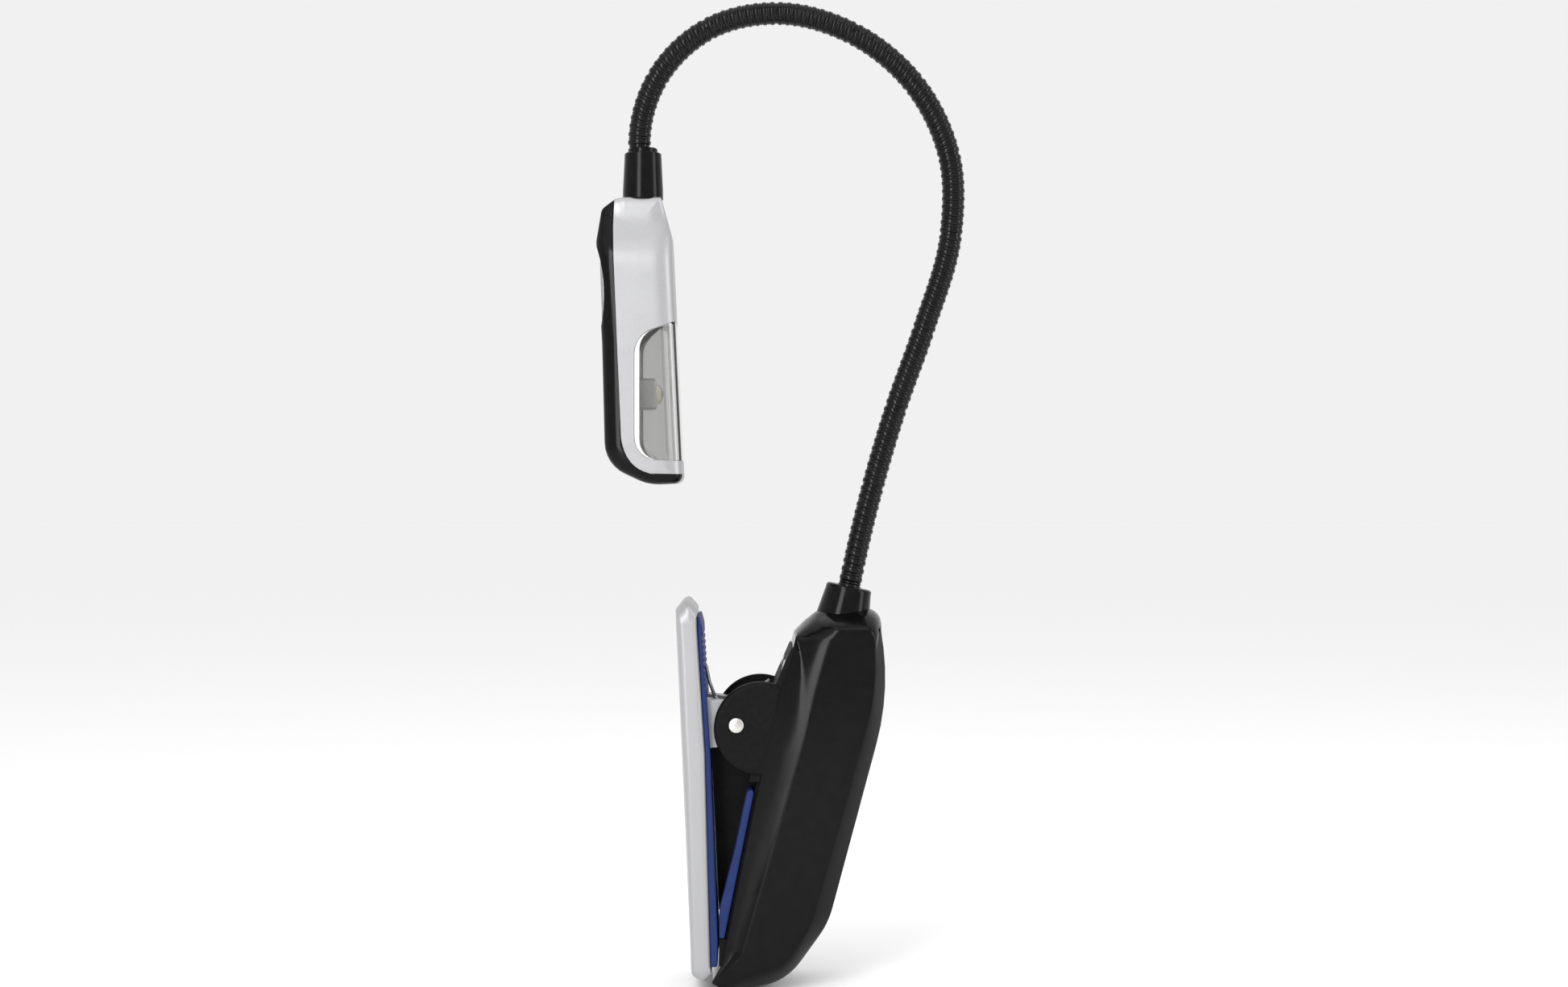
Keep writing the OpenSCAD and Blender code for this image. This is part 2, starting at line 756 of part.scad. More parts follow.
module switch_body() {
    size = 6;
    color([0.15, 0.15, 0.16]) difference() {
        translate([board_x - board_t - 3.2, -size / 2, button_at[1] - size / 2]) cube([3.2, size, size]);
        translate([board_x - board_t - 4, 0, button_at[1]]) rotate([0, 90, 0])
            cylinder(r = plunger_r + 0.05, h = 2.6);
    }
}

plunger_r = 1.5;
module switch_plunger() {
    low = board_x - board_t - 4.4;
    color([0.85, 0.85, 0.8]) translate([low, 0, button_at[1]]) rotate([0, 90, 0])
        cylinder(r = plunger_r, h = 1.9);
}

// The long dished button under a thumb
module switch_button() {
    outer = -31;
    low = board_x - board_t - 4.4;
    shape = [
        [outer + 0.2, -button_len / 2, 0.3], [-28.2, -button_len / 2, 0],
        [-28.2, button_len / 2, 0], [outer - 0.1, button_len / 2, 0.3]
    ];
    color([0.45, 0.45, 0.43]) {
        difference() {
            translate([0, 0, button_at[1]]) prism(shape, button_w);
            rod_y([outer - 29, button_at[1]], 30.4, -20, 20);
        }
        translate([-28.3, 0, button_at[1]]) rotate([0, 90, 0]) cylinder(r = 2, h = low + 28.3);
    }
}

// The lead from the neck's end to the board
module head_lead() {
    start = link_start(LINKS + 1);
    path = [
        [start[0], 0, start[1] - 0.1], [-20.5, 0, 194], [-20.5, 0, 191], [-20.6, 2.4, 188],
        [-20.8, 4.2, 185], [-21.1, 4.2, 181], [-21.1, 3.8, 178]
    ];
    color([0.6, 0.1, 0.08]) wire(path, lead_d / 2);
}

front_plate();
rear_shell();
battery_door();
neck_collar();
neck_bush();
fixed_pad();
hinge_pin();
spring_coil();
spring_arm();
lever();
lever_pad();
battery_tray();
battery_cells();
cell_springs();
cell_plates();
base_lead();
housing_screws();
for (i = [1:LINKS]) neck_link(i);
for (i = [1:LINKS]) neck_lead(i);
head_ferrule();
head_front_shell();
head_rear_shell();
head_lens();
reflector();
led();
led_holder();
head_board();
board_parts();
switch_body();
switch_button();
switch_plunger();
head_screw();
head_lead();
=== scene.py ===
"""A clip-on reading lamp: a spring clip with a battery housing, a gooseneck and a lamp head."""

import json
import math

import bmesh
import bpy
import numpy as np
from mathutils import Matrix, Vector

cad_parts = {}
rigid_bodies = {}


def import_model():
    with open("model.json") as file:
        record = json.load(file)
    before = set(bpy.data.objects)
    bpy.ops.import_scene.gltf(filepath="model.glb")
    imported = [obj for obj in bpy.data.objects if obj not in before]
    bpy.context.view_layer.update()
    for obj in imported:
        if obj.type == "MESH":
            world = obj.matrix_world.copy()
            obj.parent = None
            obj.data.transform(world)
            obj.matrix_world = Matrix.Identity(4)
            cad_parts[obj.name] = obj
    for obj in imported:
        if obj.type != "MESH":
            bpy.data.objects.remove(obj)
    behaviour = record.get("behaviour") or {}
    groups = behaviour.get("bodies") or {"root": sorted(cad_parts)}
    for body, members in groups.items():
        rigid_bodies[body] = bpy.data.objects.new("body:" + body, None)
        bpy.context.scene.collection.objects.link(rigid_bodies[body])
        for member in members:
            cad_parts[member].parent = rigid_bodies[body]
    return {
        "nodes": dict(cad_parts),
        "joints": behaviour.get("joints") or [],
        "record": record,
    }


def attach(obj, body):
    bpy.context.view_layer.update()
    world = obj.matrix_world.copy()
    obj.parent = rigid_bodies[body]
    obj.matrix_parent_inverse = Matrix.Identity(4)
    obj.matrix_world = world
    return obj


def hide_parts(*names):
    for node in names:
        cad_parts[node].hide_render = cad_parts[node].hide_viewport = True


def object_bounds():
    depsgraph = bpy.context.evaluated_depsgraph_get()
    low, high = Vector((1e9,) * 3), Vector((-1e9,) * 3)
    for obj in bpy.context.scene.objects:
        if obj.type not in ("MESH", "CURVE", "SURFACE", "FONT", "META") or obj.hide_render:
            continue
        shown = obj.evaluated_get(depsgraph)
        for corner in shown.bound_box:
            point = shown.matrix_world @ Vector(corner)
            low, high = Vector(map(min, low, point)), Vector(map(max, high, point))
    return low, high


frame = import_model()
CAD_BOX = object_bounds()
MM = 0.001                # every size below is in millimetres; a mesh is made in metres

# --- sizes of the clip and its housing, as [x, z, corner radius] outlines seen from the side ---

HALF_W = 15.0             # half width of the housing and of the lever
WALL = 1.8                # the housing's wall
GAP = 0.15                # open seam between two mouldings
# The housing's silhouette, from the jaw tip along the bottom, up the back and down the front
HOUSING = [
    (-1.9, -8.8, 0.8), (2.5, -11.4, 4), (17.2, -9.0, 15), (28.1, 6, 23), (44.35, 66.5, 66),
    (40.8, 85.0, 4), (26.6, 84.7, 6), (19.8, 79.6, 1.6), (19.1, 77, 0), (15.2, 64, 0),
    (10.1, 40, 0), (1.0, -4, 2),
]
# The flat panel on each side, corner for corner with the silhouette
PANEL = [
    (4.4, -3.2, 0.8), (6.4, -5.2, 3), (15.8, -4.9, 11), (23.2, 6, 19), (40.2, 65, 60),
    (39.6, 79.8, 2.5), (30.6, 80.6, 2), (29.3, 78.6, 0), (28.7, 76.6, 0), (25.1, 64, 0),
    (18.2, 40, 0), (6.2, -0.6, 2),
]
# How far the surface falls back between panel and silhouette at each corner, and its curve:
# 2 falls off late and round, 1 is a straight bevel and less than 1 is a step beside the panel
FALL = [1.8, 3.6, 4.6, 4.6, 4.6, 6.4, 8.5, 3.6, 1.1, 1.1, 1.1, 1.2]
CURVE = [1.6, 2, 1.5, 1.15, 1.15, 1.9, 2.1, 1.6, 0.7, 0.4, 0.36, 0.36]
CROWN = 1.4               # how much the housing's top swells towards its middle
CROWN_FROM = (31, 66)     # the point that it swells away from
CROWN_Z = (77, 83)        # where the swelling starts, and where it is whole
FRONT_WEB = [
    (0.8, -2, 0.4), (3.6, -2, 0.4), (12, 40, 40), (17, 64, 40), (20.6, 76.2, 0.4),
    (18.8, 76.2, 0.4), (15.2, 64, 40), (9.2, 40, 40),
]
WEB_HALF_W = 12.4
JAW_LIP = [
    (0.1, -5.3, 0.3), (0.1, 2.4, 0.3), (2.9, 2.4, 0), (2.0, -2.1, 0), (1.3, -2.1, 0),
    (0.95, -4, 0),
]
FRONT_SKIN = [
    (7.7, 42.6, 0.4), (10.45, 42.6, 0), (15.1, 64, 40), (19.4, 76.6, 0.2), (18.6, 76.6, 0.3),
    (13.1, 64, 20),
]
SHELL_OPENING = [
    (-8, -2.2, 0), (4.6, -2.2, 0.4), (12.1, 40, 40), (17.2, 64, 40), (20.8, 76.4, 0.4),
    (12, 76.4, 0),
]
JAW_RIB = [
    (-1.95, 50.4, 0.6), (9, 50.4, 0), (9, 42.6, 0), (10.6, 40, 0), (4.6, 10.5, 0), (0, 8, 0.4),
]
RIB_HALF_W = 4.5
EAR_CUT = [(10.5, 41, 0), (15.1, 64, 40), (17.2, 71, 0), (30, 71, 0), (30, 41, 0)]
EAR_AT = (10.8, 56)
EAR_R = 12
EAR_Y = (11.5, 14.3)      # inner and outer face of each ear
PIN_AT = (4.5, 57)
PIN_R = 1.5
PIN_HEAD_R = 1.9
SCREW_SPOTS = [(17.6, 71.2), (4.1, 7)]
SCREW_Y = 8.6
SCREW_LEAN = 14.0         # how far a screw points down from the horizontal, in degrees
SCREW_ROOM_R = 2.0        # radius of the recess for a screw's head
PIN_FIT = 0.05            # gap round the pin
LEVER = [
    (-7.2, -7.2, 1.6), (-3.9, -9.1, 1.2), (-1.7, -6.9, 0.8), (-2.1, -4.6, 0), (-3.5, 50, 0),
    (-5.5, 82, 0), (-5.7, 86.6, 1), (-8.6, 89.4, 1.2), (-11.3, 86, 2), (-9.5, 47, 0),
]
LEVER_FLAT = 9.5          # half width of the straight middle of its ends
LEVER_DROP = 4.2          # how far the corners of its top lie below the middle
LEVER_ROUND_Z = (0.9, 73.2)  # between these it has its full length across
LEVER_CROWN = 0.9         # how far its face falls back at the sides
KNUCKLE = [(-4.6, 50.7, 0.4), (3.4, 51.5, 2), (3.4, 62.5, 2), (-4.6, 63.6, 0.4)]
KNUCKLE_Y = (4.9, 11.0)
KNUCKLE_R = 5.4
LEVER_PAD = [
    (-2.1, -4.6, 0), (-0.2, -4.6, 0.8), (-0.2, 3, 20), (-2.1, 50, 60), (-4.1, 82, 0),
    (-4.8, 84.6, 0), (-5.4, 84.6, 0), (-5.4, 82, 20), (-3.5, 50, 90),
]
FIXED_PAD = [
    (1.45, 2.6, 0.4), (9.0, 39.7, 0.8), (8.6, 40.9, 0.6), (7.2, 40, 1.2), (4.0, 25, 40),
    (0.15, 10, 14), (0.15, 2.8, 0.4),
]
PAD_HALF_W = 14.0
BAY_AT = (22.2, 34.5)     # the battery bay's middle, and its lean from the vertical in degrees
BAY_LEAN = 13.5
DOOR_Z = (-28, 43)        # the battery door's ends, along the bay
DOOR_HALF_W = 10.0

# --- sizes of the gooseneck ---

NECK_R = 3.0
NECK_LEAN = 12.0          # its lean where it leaves the collar, in degrees
NECK_END_WAY = (0.0175, 0, -1)  # its direction where it enters the head
NECK_OVER = 5.0           # from the collar's top to the first joint
NECK_TAILS = (9.0, 8.6)   # what it has before its first joint and after its last
NECK_STEPS = 40           # points of its curve between two joints
NECK_PITCH = 2.06         # from one turn of its wire to the next, near enough
NECK_GAP = 0.67           # width of the gap between turns, with the narrow wire in it
NECK_GROOVE = 0.30        # depth of the groove on each side of a turn
NECK_NARROW = 0.14        # how far the narrow wire stays below the turns
NECK_SIDES = 28
NECK_BALL_R = 2.66        # of the ball in a joint
NECK_BALL_GAP = 0.025     # between the ball and its socket

# --- sizes of the lamp head ---

HEAD_HALF_W = 12.0
HEAD_WALL = 1.6
HEAD_ROUND = 4.2          # how wide its long edges are rounded, seen from the side
HEAD_ROUND_Y = 3.4        # and seen from the front
HEAD_NECK_HALF_W = 5.6    # half width of its narrow top
HEAD_NECK_Z = (174, 191)  # where it starts and ends narrowing
HEAD = [
    (-15, 192.7, 0.6), (-24.6, 192.7, 0.6), (-26.8, 192.3, 1), (-30.4, 189.6, 2.4),
    (-31.6, 181, 6), (-30, 155, 90), (-29.2, 123.4, 9), (-18, 118.2, 12), (-9.2, 118.6, 2.2),
    (-12.2, 182.6, 6),
]
HEAD_SPLIT = [
    (-27, 195, 0), (-27.2, 185, 30), (-24.8, 128, 12), (-21, 121.2, 8), (-6, 120.9, 0),
    (-6, 195, 0),
]
WINDOW = [(-21.6, 124.4, 6), (-6, 124.4, 0), (-6, 162.1, 0), (-21.6, 156.3, 6.5)]
# The clear part inside it: a bright frame shows along its back edge
PANE = [(-20.2, 124.5, 5.2), (-6, 124.5, 0), (-6, 162, 0), (-20.2, 156.7, 5.6)]
BUTTON_AT = (-30.2, 167)
BUTTON_HALF = (4.0, 10.0)  # half width and half length
LED_AT = (-19.0, 141.8)    # the foot of the lamp's diode

# --- outlines and meshes ---


def rounded(outline, steps=6):
    """The points of an outline with its corners rounded: the same number for every corner."""
    points, n = [], len(outline)
    for i, (x, z, radius) in enumerate(outline):
        p = Vector((x, z))
        if radius <= 0:
            points.append(p)
            continue
        u = (Vector(outline[i - 1][:2]) - p).normalized()
        v = (Vector(outline[(i + 1) % n][:2]) - p).normalized()
        turn = math.pi - u.angle(v)
        if turn < 0.01:
            points += [p.copy() for _ in range(steps + 1)]
            continue
        centre = p + (u + v).normalized() * (radius / math.cos(turn / 2))
        start = p + u * (radius * math.tan(turn / 2)) - centre
        way = -1 if u.x * v.y - u.y * v.x > 0 else 1
        for k in range(steps + 1):
            a = way * turn * k / steps
            points.append(centre + Vector((
                start.x * math.cos(a) - start.y * math.sin(a),
                start.x * math.sin(a) + start.y * math.cos(a),
            )))
    return points


def traced(outline, like, spacing=4.0, steps=6):
    """A rounded outline with points along its edges: as many as along the outline it is like."""
    n, points = len(outline), []
    corners, rest = [], rounded(outline, steps)
    for _, _, radius in outline:
        size = steps + 1 if radius > 0 else 1
        corners.append(rest[:size])
        rest = rest[size:]
    for i, corner in enumerate(corners):
        a, b = Vector(like[i][:2]), Vector(like[(i + 1) % n][:2])
        parts = max(1, round((b - a).length / spacing))
        first, last = corner[-1], corners[(i + 1) % n][0]
        points += corner + [first.lerp(last, k / parts) for k in range(1, parts)]
    return points


def traced_values(outline, values, spacing=4.0, steps=6):
    """One value for each point of a traced outline, from its corners' values."""
    n, result = len(outline), []
    for i, (x, z, radius) in enumerate(outline):
        after = outline[(i + 1) % n]
        parts = max(1, round((Vector(after[:2]) - Vector((x, z))).length / spacing))
        result += [values[i]] * (steps + 1 if radius > 0 else 1)
        result += [
            values[i] + (values[(i + 1) % n] - values[i]) * k / parts for k in range(1, parts)
        ]
    smooth = np.array(result)
    for _ in range(3):
        smooth = (np.roll(smooth, 1) + 2 * smooth + np.roll(smooth, -1)) / 4
    return smooth.tolist()


def inset(outline, d):
    """An outline drawn inwards by d."""
    n = len(outline)
    at = [Vector(p[:2]) for p in outline]
    area = sum(at[i].x * at[(i + 1) % n].y - at[i].y * at[(i + 1) % n].x for i in range(n))
    side, result = (1 if area > 0 else -1), []
    for i in range(n):
        u = (at[i] - at[i - 1]).normalized()
        v = (at[(i + 1) % n] - at[i]).normalized()
        n1, n2 = side * Vector((-u.y, u.x)), side * Vector((-v.y, v.x))
        bulge = -d if side * (u.x * v.y - u.y * v.x) > 0 else d
        p = at[i] + d * (n1 + n2) / (1 + n1.dot(n2))
        result.append((p.x, p.y, max(0.2, outline[i][2] + bulge) if outline[i][2] else 0))
    return result


def mesh_piece(name, points, faces):
    """A closed mesh from points in millimetres, its faces turned outwards."""
    mesh = bpy.data.meshes.new(name)
    mesh.from_pydata([Vector(p) * MM for p in points], [], faces)
    shape = bmesh.new()
    shape.from_mesh(mesh)
    bmesh.ops.remove_doubles(shape, verts=shape.verts, dist=1e-7)
    caps = [face for face in shape.faces if len(face.verts) > 4]
    bmesh.ops.triangulate(shape, faces=caps, ngon_method="BEAUTY")
    bmesh.ops.recalc_face_normals(shape, faces=shape.faces)
    shape.to_mesh(mesh)
    shape.free()
    piece = bpy.data.objects.new(name, mesh)
    bpy.context.scene.collection.objects.link(piece)
    return piece


def loft(name, rings):
    """Skins rings of points, all of one length, and caps the two ends."""
    n, m = len(rings[0]), len(rings)
    points = [p for ring in rings for p in ring]
    faces = [
        (i * n + j, i * n + (j + 1) % n, (i + 1) * n + (j + 1) % n, (i + 1) * n + j)
        for i in range(m - 1)
        for j in range(n)
    ]
    faces += [tuple(range(n)), tuple(range(n * (m - 1), n * m))]
    return mesh_piece(name, points, faces)


def drawn_in(ring, low, high, share):
    """A ring of [x, z] points drawn towards the line from low to high by a share."""
    low, high = Vector(low), Vector(high)
    way = high - low
    result = []
    for p in ring:
        t = min(1.0, max(0.0, (p - low).dot(way) / way.length_squared))
        result.append(p + (low + way * t - p) * share)
    return result


def rim_sections(half_w, rim, segments=5):
    """(y, inset) of the rings of a slab across Y with round rims, from one face to the other."""
    angles = [math.pi / 2 * k / segments for k in range(segments + 1)]
    near = [(half_w - rim * (1 - math.cos(a)), rim * (1 - math.sin(a))) for a in angles]
    return [(-y, d) for y, d in near] + [(y, d) for y, d in reversed(near)]


def slab(name, outline, half_w, rim=0.0, centre=0.0, between=0, steps=6, spacing=1000):
    """A block of a side outline across Y, with round rims and some rings between them."""
    sections = rim_sections(half_w, rim) if rim else [(-half_w, 0), (half_w, 0)]
    if between:
        low, high = sections[len(sections) // 2 - 1][0], sections[len(sections) // 2][0]
        middle = [(low + (high - low) * k / (between + 1), 0) for k in range(1, between + 1)]
        sections = sections[:len(sections) // 2] + middle + sections[len(sections) // 2:]
    return loft(name, [
        [
            (p.x, centre + y, p.y)
            for p in traced(inset(outline, d) if d else outline, outline, spacing, steps)
        ]
        for y, d in sections
    ])


def lathe(name, profile, at=(0, 0, 0), turn=None, sides=64):
    """Turns an (r, z) profile round Z, then turns it with a matrix and moves it to at."""
    turn = turn or Matrix.Identity(3)
    rings = [
        [
            Vector(at) + turn @ Vector((r * math.cos(a), r * math.sin(a), z))
            for a in (2 * math.pi * k / sides for k in range(sides))
        ]
        for r, z in profile
    ]
    return loft(name, rings)


def arc(centre, radius, first, last, steps=5):
    """Points of a profile's round corner, its angles in degrees."""
    return [
        (
            centre[0] + radius * math.cos(math.radians(first + (last - first) * k / steps)),
            centre[1] + radius * math.sin(math.radians(first + (last - first) * k / steps)),
        )
        for k in range(steps + 1)
    ]


ALONG_Y = Matrix.Rotation(math.radians(-90), 3, "X")
ALONG_X = Matrix.Rotation(math.radians(90), 3, "Y")
NECK_TURN = Matrix.Rotation(math.radians(NECK_LEAN), 3, "Y")
BAY_TURN = Matrix.Rotation(math.radians(BAY_LEAN), 3, "Y")


def rod(name, at, radius, low, high, sides=48):
    """A cylinder along Y at (x, z)."""
    return lathe(name, [(radius, low), (radius, high)], (at[0], 0, at[1]), ALONG_Y, sides)


def block(name, low, high, at=(0, 0, 0), turn=None):
    """A box between two corners, turned and moved: a tool for cuts."""
    turn = turn or Matrix.Identity(3)
    corners = [
        Vector(at) + turn @ Vector((x, y, z))
        for z in (low[2], high[2])
        for x, y in ((low[0], low[1]), (high[0], low[1]), (high[0], high[1]), (low[0], high[1]))
    ]
    return loft(name, [corners[:4], corners[4:]])


def combine(piece, operation, *tools):
    """Applies boolean operations to a piece and removes the tools."""
    for tool in tools:
        step = piece.modifiers.new("step", "BOOLEAN")
        step.operation = operation
        step.solver = "MANIFOLD"
        step.object = tool
        apply(piece)
        bpy.data.objects.remove(tool)
    return piece


def apply(piece):
    """Applies a piece's modifiers."""
    graph = bpy.context.evaluated_depsgraph_get()
    mesh = bpy.data.meshes.new_from_object(piece.evaluated_get(graph))
    piece.modifiers.clear()
    piece.data = mesh


def cut(piece, *tools):
    return combine(piece, "DIFFERENCE", *tools)


def join(piece, *others):
    return combine(piece, "UNION", *others)


def common(piece, *others):
    return combine(piece, "INTERSECT", *others)


def soften(piece, width=0.25, angle=38, segments=3):
    """Rounds a piece's sharp edges and shades its faces smoothly."""
    shape = bmesh.new()
    shape.from_mesh(piece.data)
    bmesh.ops.remove_doubles(shape, verts=shape.verts, dist=1e-6)
    bmesh.ops.dissolve_degenerate(shape, edges=shape.edges, dist=1e-6)
    shape.to_mesh(piece.data)
    shape.free()
    piece.data.shade_smooth()
    piece.data.set_sharp_from_angle(angle=math.radians(angle))
    if width:
        bevel = piece.modifiers.new("edges", "BEVEL")
        bevel.width = width * MM
        bevel.segments = segments
        bevel.limit_method = "ANGLE"
        bevel.angle_limit = math.radians(angle)
        bevel.use_clamp_overlap = True
        bevel.harden_normals = False
        bevel.miter_outer = "MITER_ARC"
    weigh = piece.modifiers.new("shading", "WEIGHTED_NORMAL")
    weigh.keep_sharp = True
    weigh.weight = 60
    return piece


def reshape(piece, move):
    """Moves each point of a piece by a function of (x, y, z) in millimetres."""
    for vertex in piece.data.vertices:
        x, y, z = vertex.co / MM
        vertex.co = Vector(move(x, y, z)) * MM
    piece.data.update()
    return piece


def place(piece, body, slot, look, *nodes, finish=None):
    """Gives a piece its body and its material, from its slot or its finish, and hides the CAD
    nodes that it stands for.
    """
    piece.data.materials.clear()
    piece.data.materials.append(look[finish or slot])
    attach(piece, body)
    if nodes:
        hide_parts(*nodes)
    return piece


# --- materials ---


class Shader:
    """A procedural material on a Principled shader."""

    def __init__(self, name, colour, roughness, **plain):
        self.material = bpy.data.materials.new(name)
        self.material.use_nodes = True
        self.nodes = self.material.node_tree.nodes
        self.links = self.material.node_tree.links
        self.surface = self.nodes["Principled BSDF"]
        self.coords = self.nodes.new("ShaderNodeTexCoord")
        self.surface.inputs["Base Color"].default_value = (*colour, 1)
        self.surface.inputs["Roughness"].default_value = roughness
        for key, value in plain.items():
            self.surface.inputs[key.replace("_", " ")].default_value = value
        self.height = None

    def noise(self, scale, detail=3, stretch=(1, 1, 1)):
        """A noise pattern, its scale in features a metre."""
        spread = self.nodes.new("ShaderNodeMapping")
        spread.inputs["Scale"].default_value = stretch
        self.links.new(self.coords.outputs["Object"], spread.inputs["Vector"])
        noise = self.nodes.new("ShaderNodeTexNoise")
        noise.inputs["Scale"].default_value = scale
        noise.inputs["Detail"].default_value = detail
        noise.inputs["Roughness"].default_value = 0.55
        self.links.new(spread.outputs["Vector"], noise.inputs["Vector"])
        return noise.outputs["Fac"]

    def cells(self, scale):
        """A pattern of round grains, its scale in grains a metre."""
        grain = self.nodes.new("ShaderNodeTexVoronoi")
        grain.inputs["Scale"].default_value = scale
        self.links.new(self.coords.outputs["Object"], grain.inputs["Vector"])
        return grain.outputs["Distance"]

    def bands(self, scale, direction, distortion=0.0):
        """A pattern of waves along one axis."""
        wave = self.nodes.new("ShaderNodeTexWave")
        wave.bands_direction = direction
        wave.inputs["Scale"].default_value = scale
        wave.inputs["Distortion"].default_value = distortion
        wave.inputs["Detail"].default_value = 1
        self.links.new(self.coords.outputs["Object"], wave.inputs["Vector"])
        return wave.outputs["Fac"]

    def remap(self, value, low, high, to_low, to_high):
        ranged = self.nodes.new("ShaderNodeMapRange")
        for key, number in zip(
            ("From Min", "From Max", "To Min", "To Max"), (low, high, to_low, to_high)
        ):
            ranged.inputs[key].default_value = number
        self.links.new(value, ranged.inputs["Value"])
        return ranged.outputs["Result"]

    def vary_roughness(self, pattern, low, high, span=(0.3, 0.7)):
        self.links.new(self.remap(pattern, *span, low, high), self.surface.inputs["Roughness"])
        return self

    def vary_colour(self, pattern, first, second, span=(0.3, 0.7)):
        ramp = self.nodes.new("ShaderNodeValToRGB")
        ramp.color_ramp.elements[0].position = span[0]
        ramp.color_ramp.elements[0].color = (*first, 1)
        ramp.color_ramp.elements[1].position = span[1]
        ramp.color_ramp.elements[1].color = (*second, 1)
        self.links.new(pattern, ramp.inputs["Fac"])
        self.links.new(ramp.outputs["Color"], self.surface.inputs["Base Color"])
        return self

    def bump(self, pattern, height, strength=1.0):
        """Raises the surface by a pattern, its height in millimetres."""
        bump = self.nodes.new("ShaderNodeBump")
        bump.inputs["Strength"].default_value = strength
        bump.inputs["Distance"].default_value = height * MM
        self.links.new(pattern, bump.inputs["Height"])
        if self.height:
            self.links.new(self.height, bump.inputs["Normal"])
        self.height = bump.outputs["Normal"]
        self.links.new(self.height, self.surface.inputs["Normal"])
        return self


def moulded(name, dark, light, smooth, rough):
    """Moulded plastic: a fine grain, and faint swirls in its sheen."""
    shader = Shader(name, dark, smooth)
    swirl = shader.noise(140, 4)
    shader.vary_roughness(swirl, smooth, rough)
    shader.vary_colour(shader.noise(900, 2), dark, light)
    shader.bump(shader.noise(2600, 2), 0.012)
    shader.bump(swirl, 0.024)
    return shader.material


def gloss_black():
    """Polished plastic with a slight waviness and hazy patches."""
    shader = Shader("gloss_black_plastic", (0.002, 0.002, 0.0024), 0.15, Specular_IOR_Level=0.14)
    shader.vary_roughness(shader.noise(95, 5), 0.13, 0.2)
    shader.vary_colour(shader.noise(420, 3), (0.001, 0.001, 0.0013), (0.0028, 0.0028, 0.0032))
    shader.bump(shader.noise(70, 2), 0.02)
    shader.bump(shader.noise(3200, 2, (1, 1, 0.2)), 0.002)
    return shader.material


def satin_black():
    """Plastic from a spark-eroded mould: a fine round grain."""
    shader = Shader("satin_black_plastic", (0.003, 0.003, 0.0032), 0.55, Specular_IOR_Level=0.1)
    shader.vary_roughness(shader.noise(160, 4), 0.5, 0.64)
    shader.vary_colour(shader.noise(700, 3), (0.002, 0.002, 0.0022), (0.0045, 0.0045, 0.005))
    shader.bump(shader.cells(4200), 0.02, 0.7)
    return shader.material


def silver_paint(tint):
    """Paint with fine metal flakes over a slight orange peel."""
    shader = Shader("silver_paint", tint, 0.36, Metallic=0.35)
    flakes = shader.noise(5200, 2)
    shader.vary_colour(flakes, [0.93 * c for c in tint], [min(1, 1.07 * c) for c in tint])
    shader.vary_roughness(shader.noise(120, 4), 0.32, 0.42)
    shader.bump(flakes, 0.003)
    shader.bump(shader.noise(60, 2), 0.02)
    return shader.material


def rubber_blue():
    """Soft rubber with a fine grain and dull patches."""
    shader = Shader("blue_rubber", (0.0065, 0.018, 0.092), 0.5, Specular_IOR_Level=0.2)
    shader.vary_colour(shader.noise(260, 4), (0.0058, 0.016, 0.082), (0.0085, 0.022, 0.105))
    shader.vary_roughness(shader.noise(90, 4), 0.46, 0.6)
    shader.bump(shader.cells(3400), 0.025, 0.8)
    return shader.material


def neck_black():
    """Black coated wire."""
    shader = Shader("wound_wire_black", (0.003, 0.003, 0.0035), 0.12, Specular_IOR_Level=0.18)
    shader.vary_roughness(shader.noise(900, 4), 0.08, 0.15)
    shader.vary_colour(shader.noise(500, 3), (0.0015, 0.0015, 0.002), (0.0045, 0.0045, 0.0052))
    shader.bump(shader.noise(2200, 3), 0.006)
    return shader.material


def metal(name, colour, smooth, rough, brushed=(1, 1, 1), scale=1800):
    """Bare metal with fine scratches and stains."""
    shader = Shader(name, colour, smooth, Metallic=1.0)
    scratches = shader.noise(scale, 3, brushed)
    shader.vary_roughness(scratches, smooth, rough)
    shader.vary_colour(shader.noise(300, 4), [0.86 * c for c in colour], colour)
    shader.bump(scratches, 0.004)
    return shader.material


def clear_plastic(name, tint, rough=0.03):
    """Clear plastic with hazy patches and a slight waviness."""
    shader = Shader(name, tint, rough, IOR=1.49, Transmission_Weight=1.0)
    shader.vary_roughness(shader.noise(240, 4), rough, rough + 0.035)
    shader.bump(shader.noise(120, 2), 0.006)
    return shader.material


def cell_wrap():
    """A battery's printed sleeve: plain colour bands along its length, with no lettering."""
    shader = Shader("battery_sleeve", (0.02, 0.02, 0.02), 0.28, Metallic=0.4)
    bands = shader.bands(14, "Z")
    shader.vary_colour(bands, (0.015, 0.015, 0.017), (0.72, 0.3, 0.07), (0.72, 0.76))
    shader.vary_roughness(shader.noise(500, 3), 0.24, 0.36)
    shader.bump(shader.noise(90, 3), 0.03)
    return shader.material


def board_green():
    """A circuit board's lacquer over its tracks."""
    shader = Shader("circuit_board", (0.01, 0.09, 0.03), 0.32)
    tracks = shader.bands(420, "DIAGONAL", 6.0)
    shader.vary_colour(tracks, (0.008, 0.075, 0.025), (0.02, 0.16, 0.05), (0.6, 0.68))
    shader.vary_roughness(shader.noise(800, 3), 0.26, 0.4)
    shader.bump(tracks, 0.02)
    return shader.material


def yellow_phosphor():
    """The powdery yellow layer on the diode's chip."""
    shader = Shader("yellow_phosphor", (0.9, 0.72, 0.2), 0.6)
    shader.vary_roughness(shader.noise(4000, 2), 0.5, 0.7)
    return shader.material


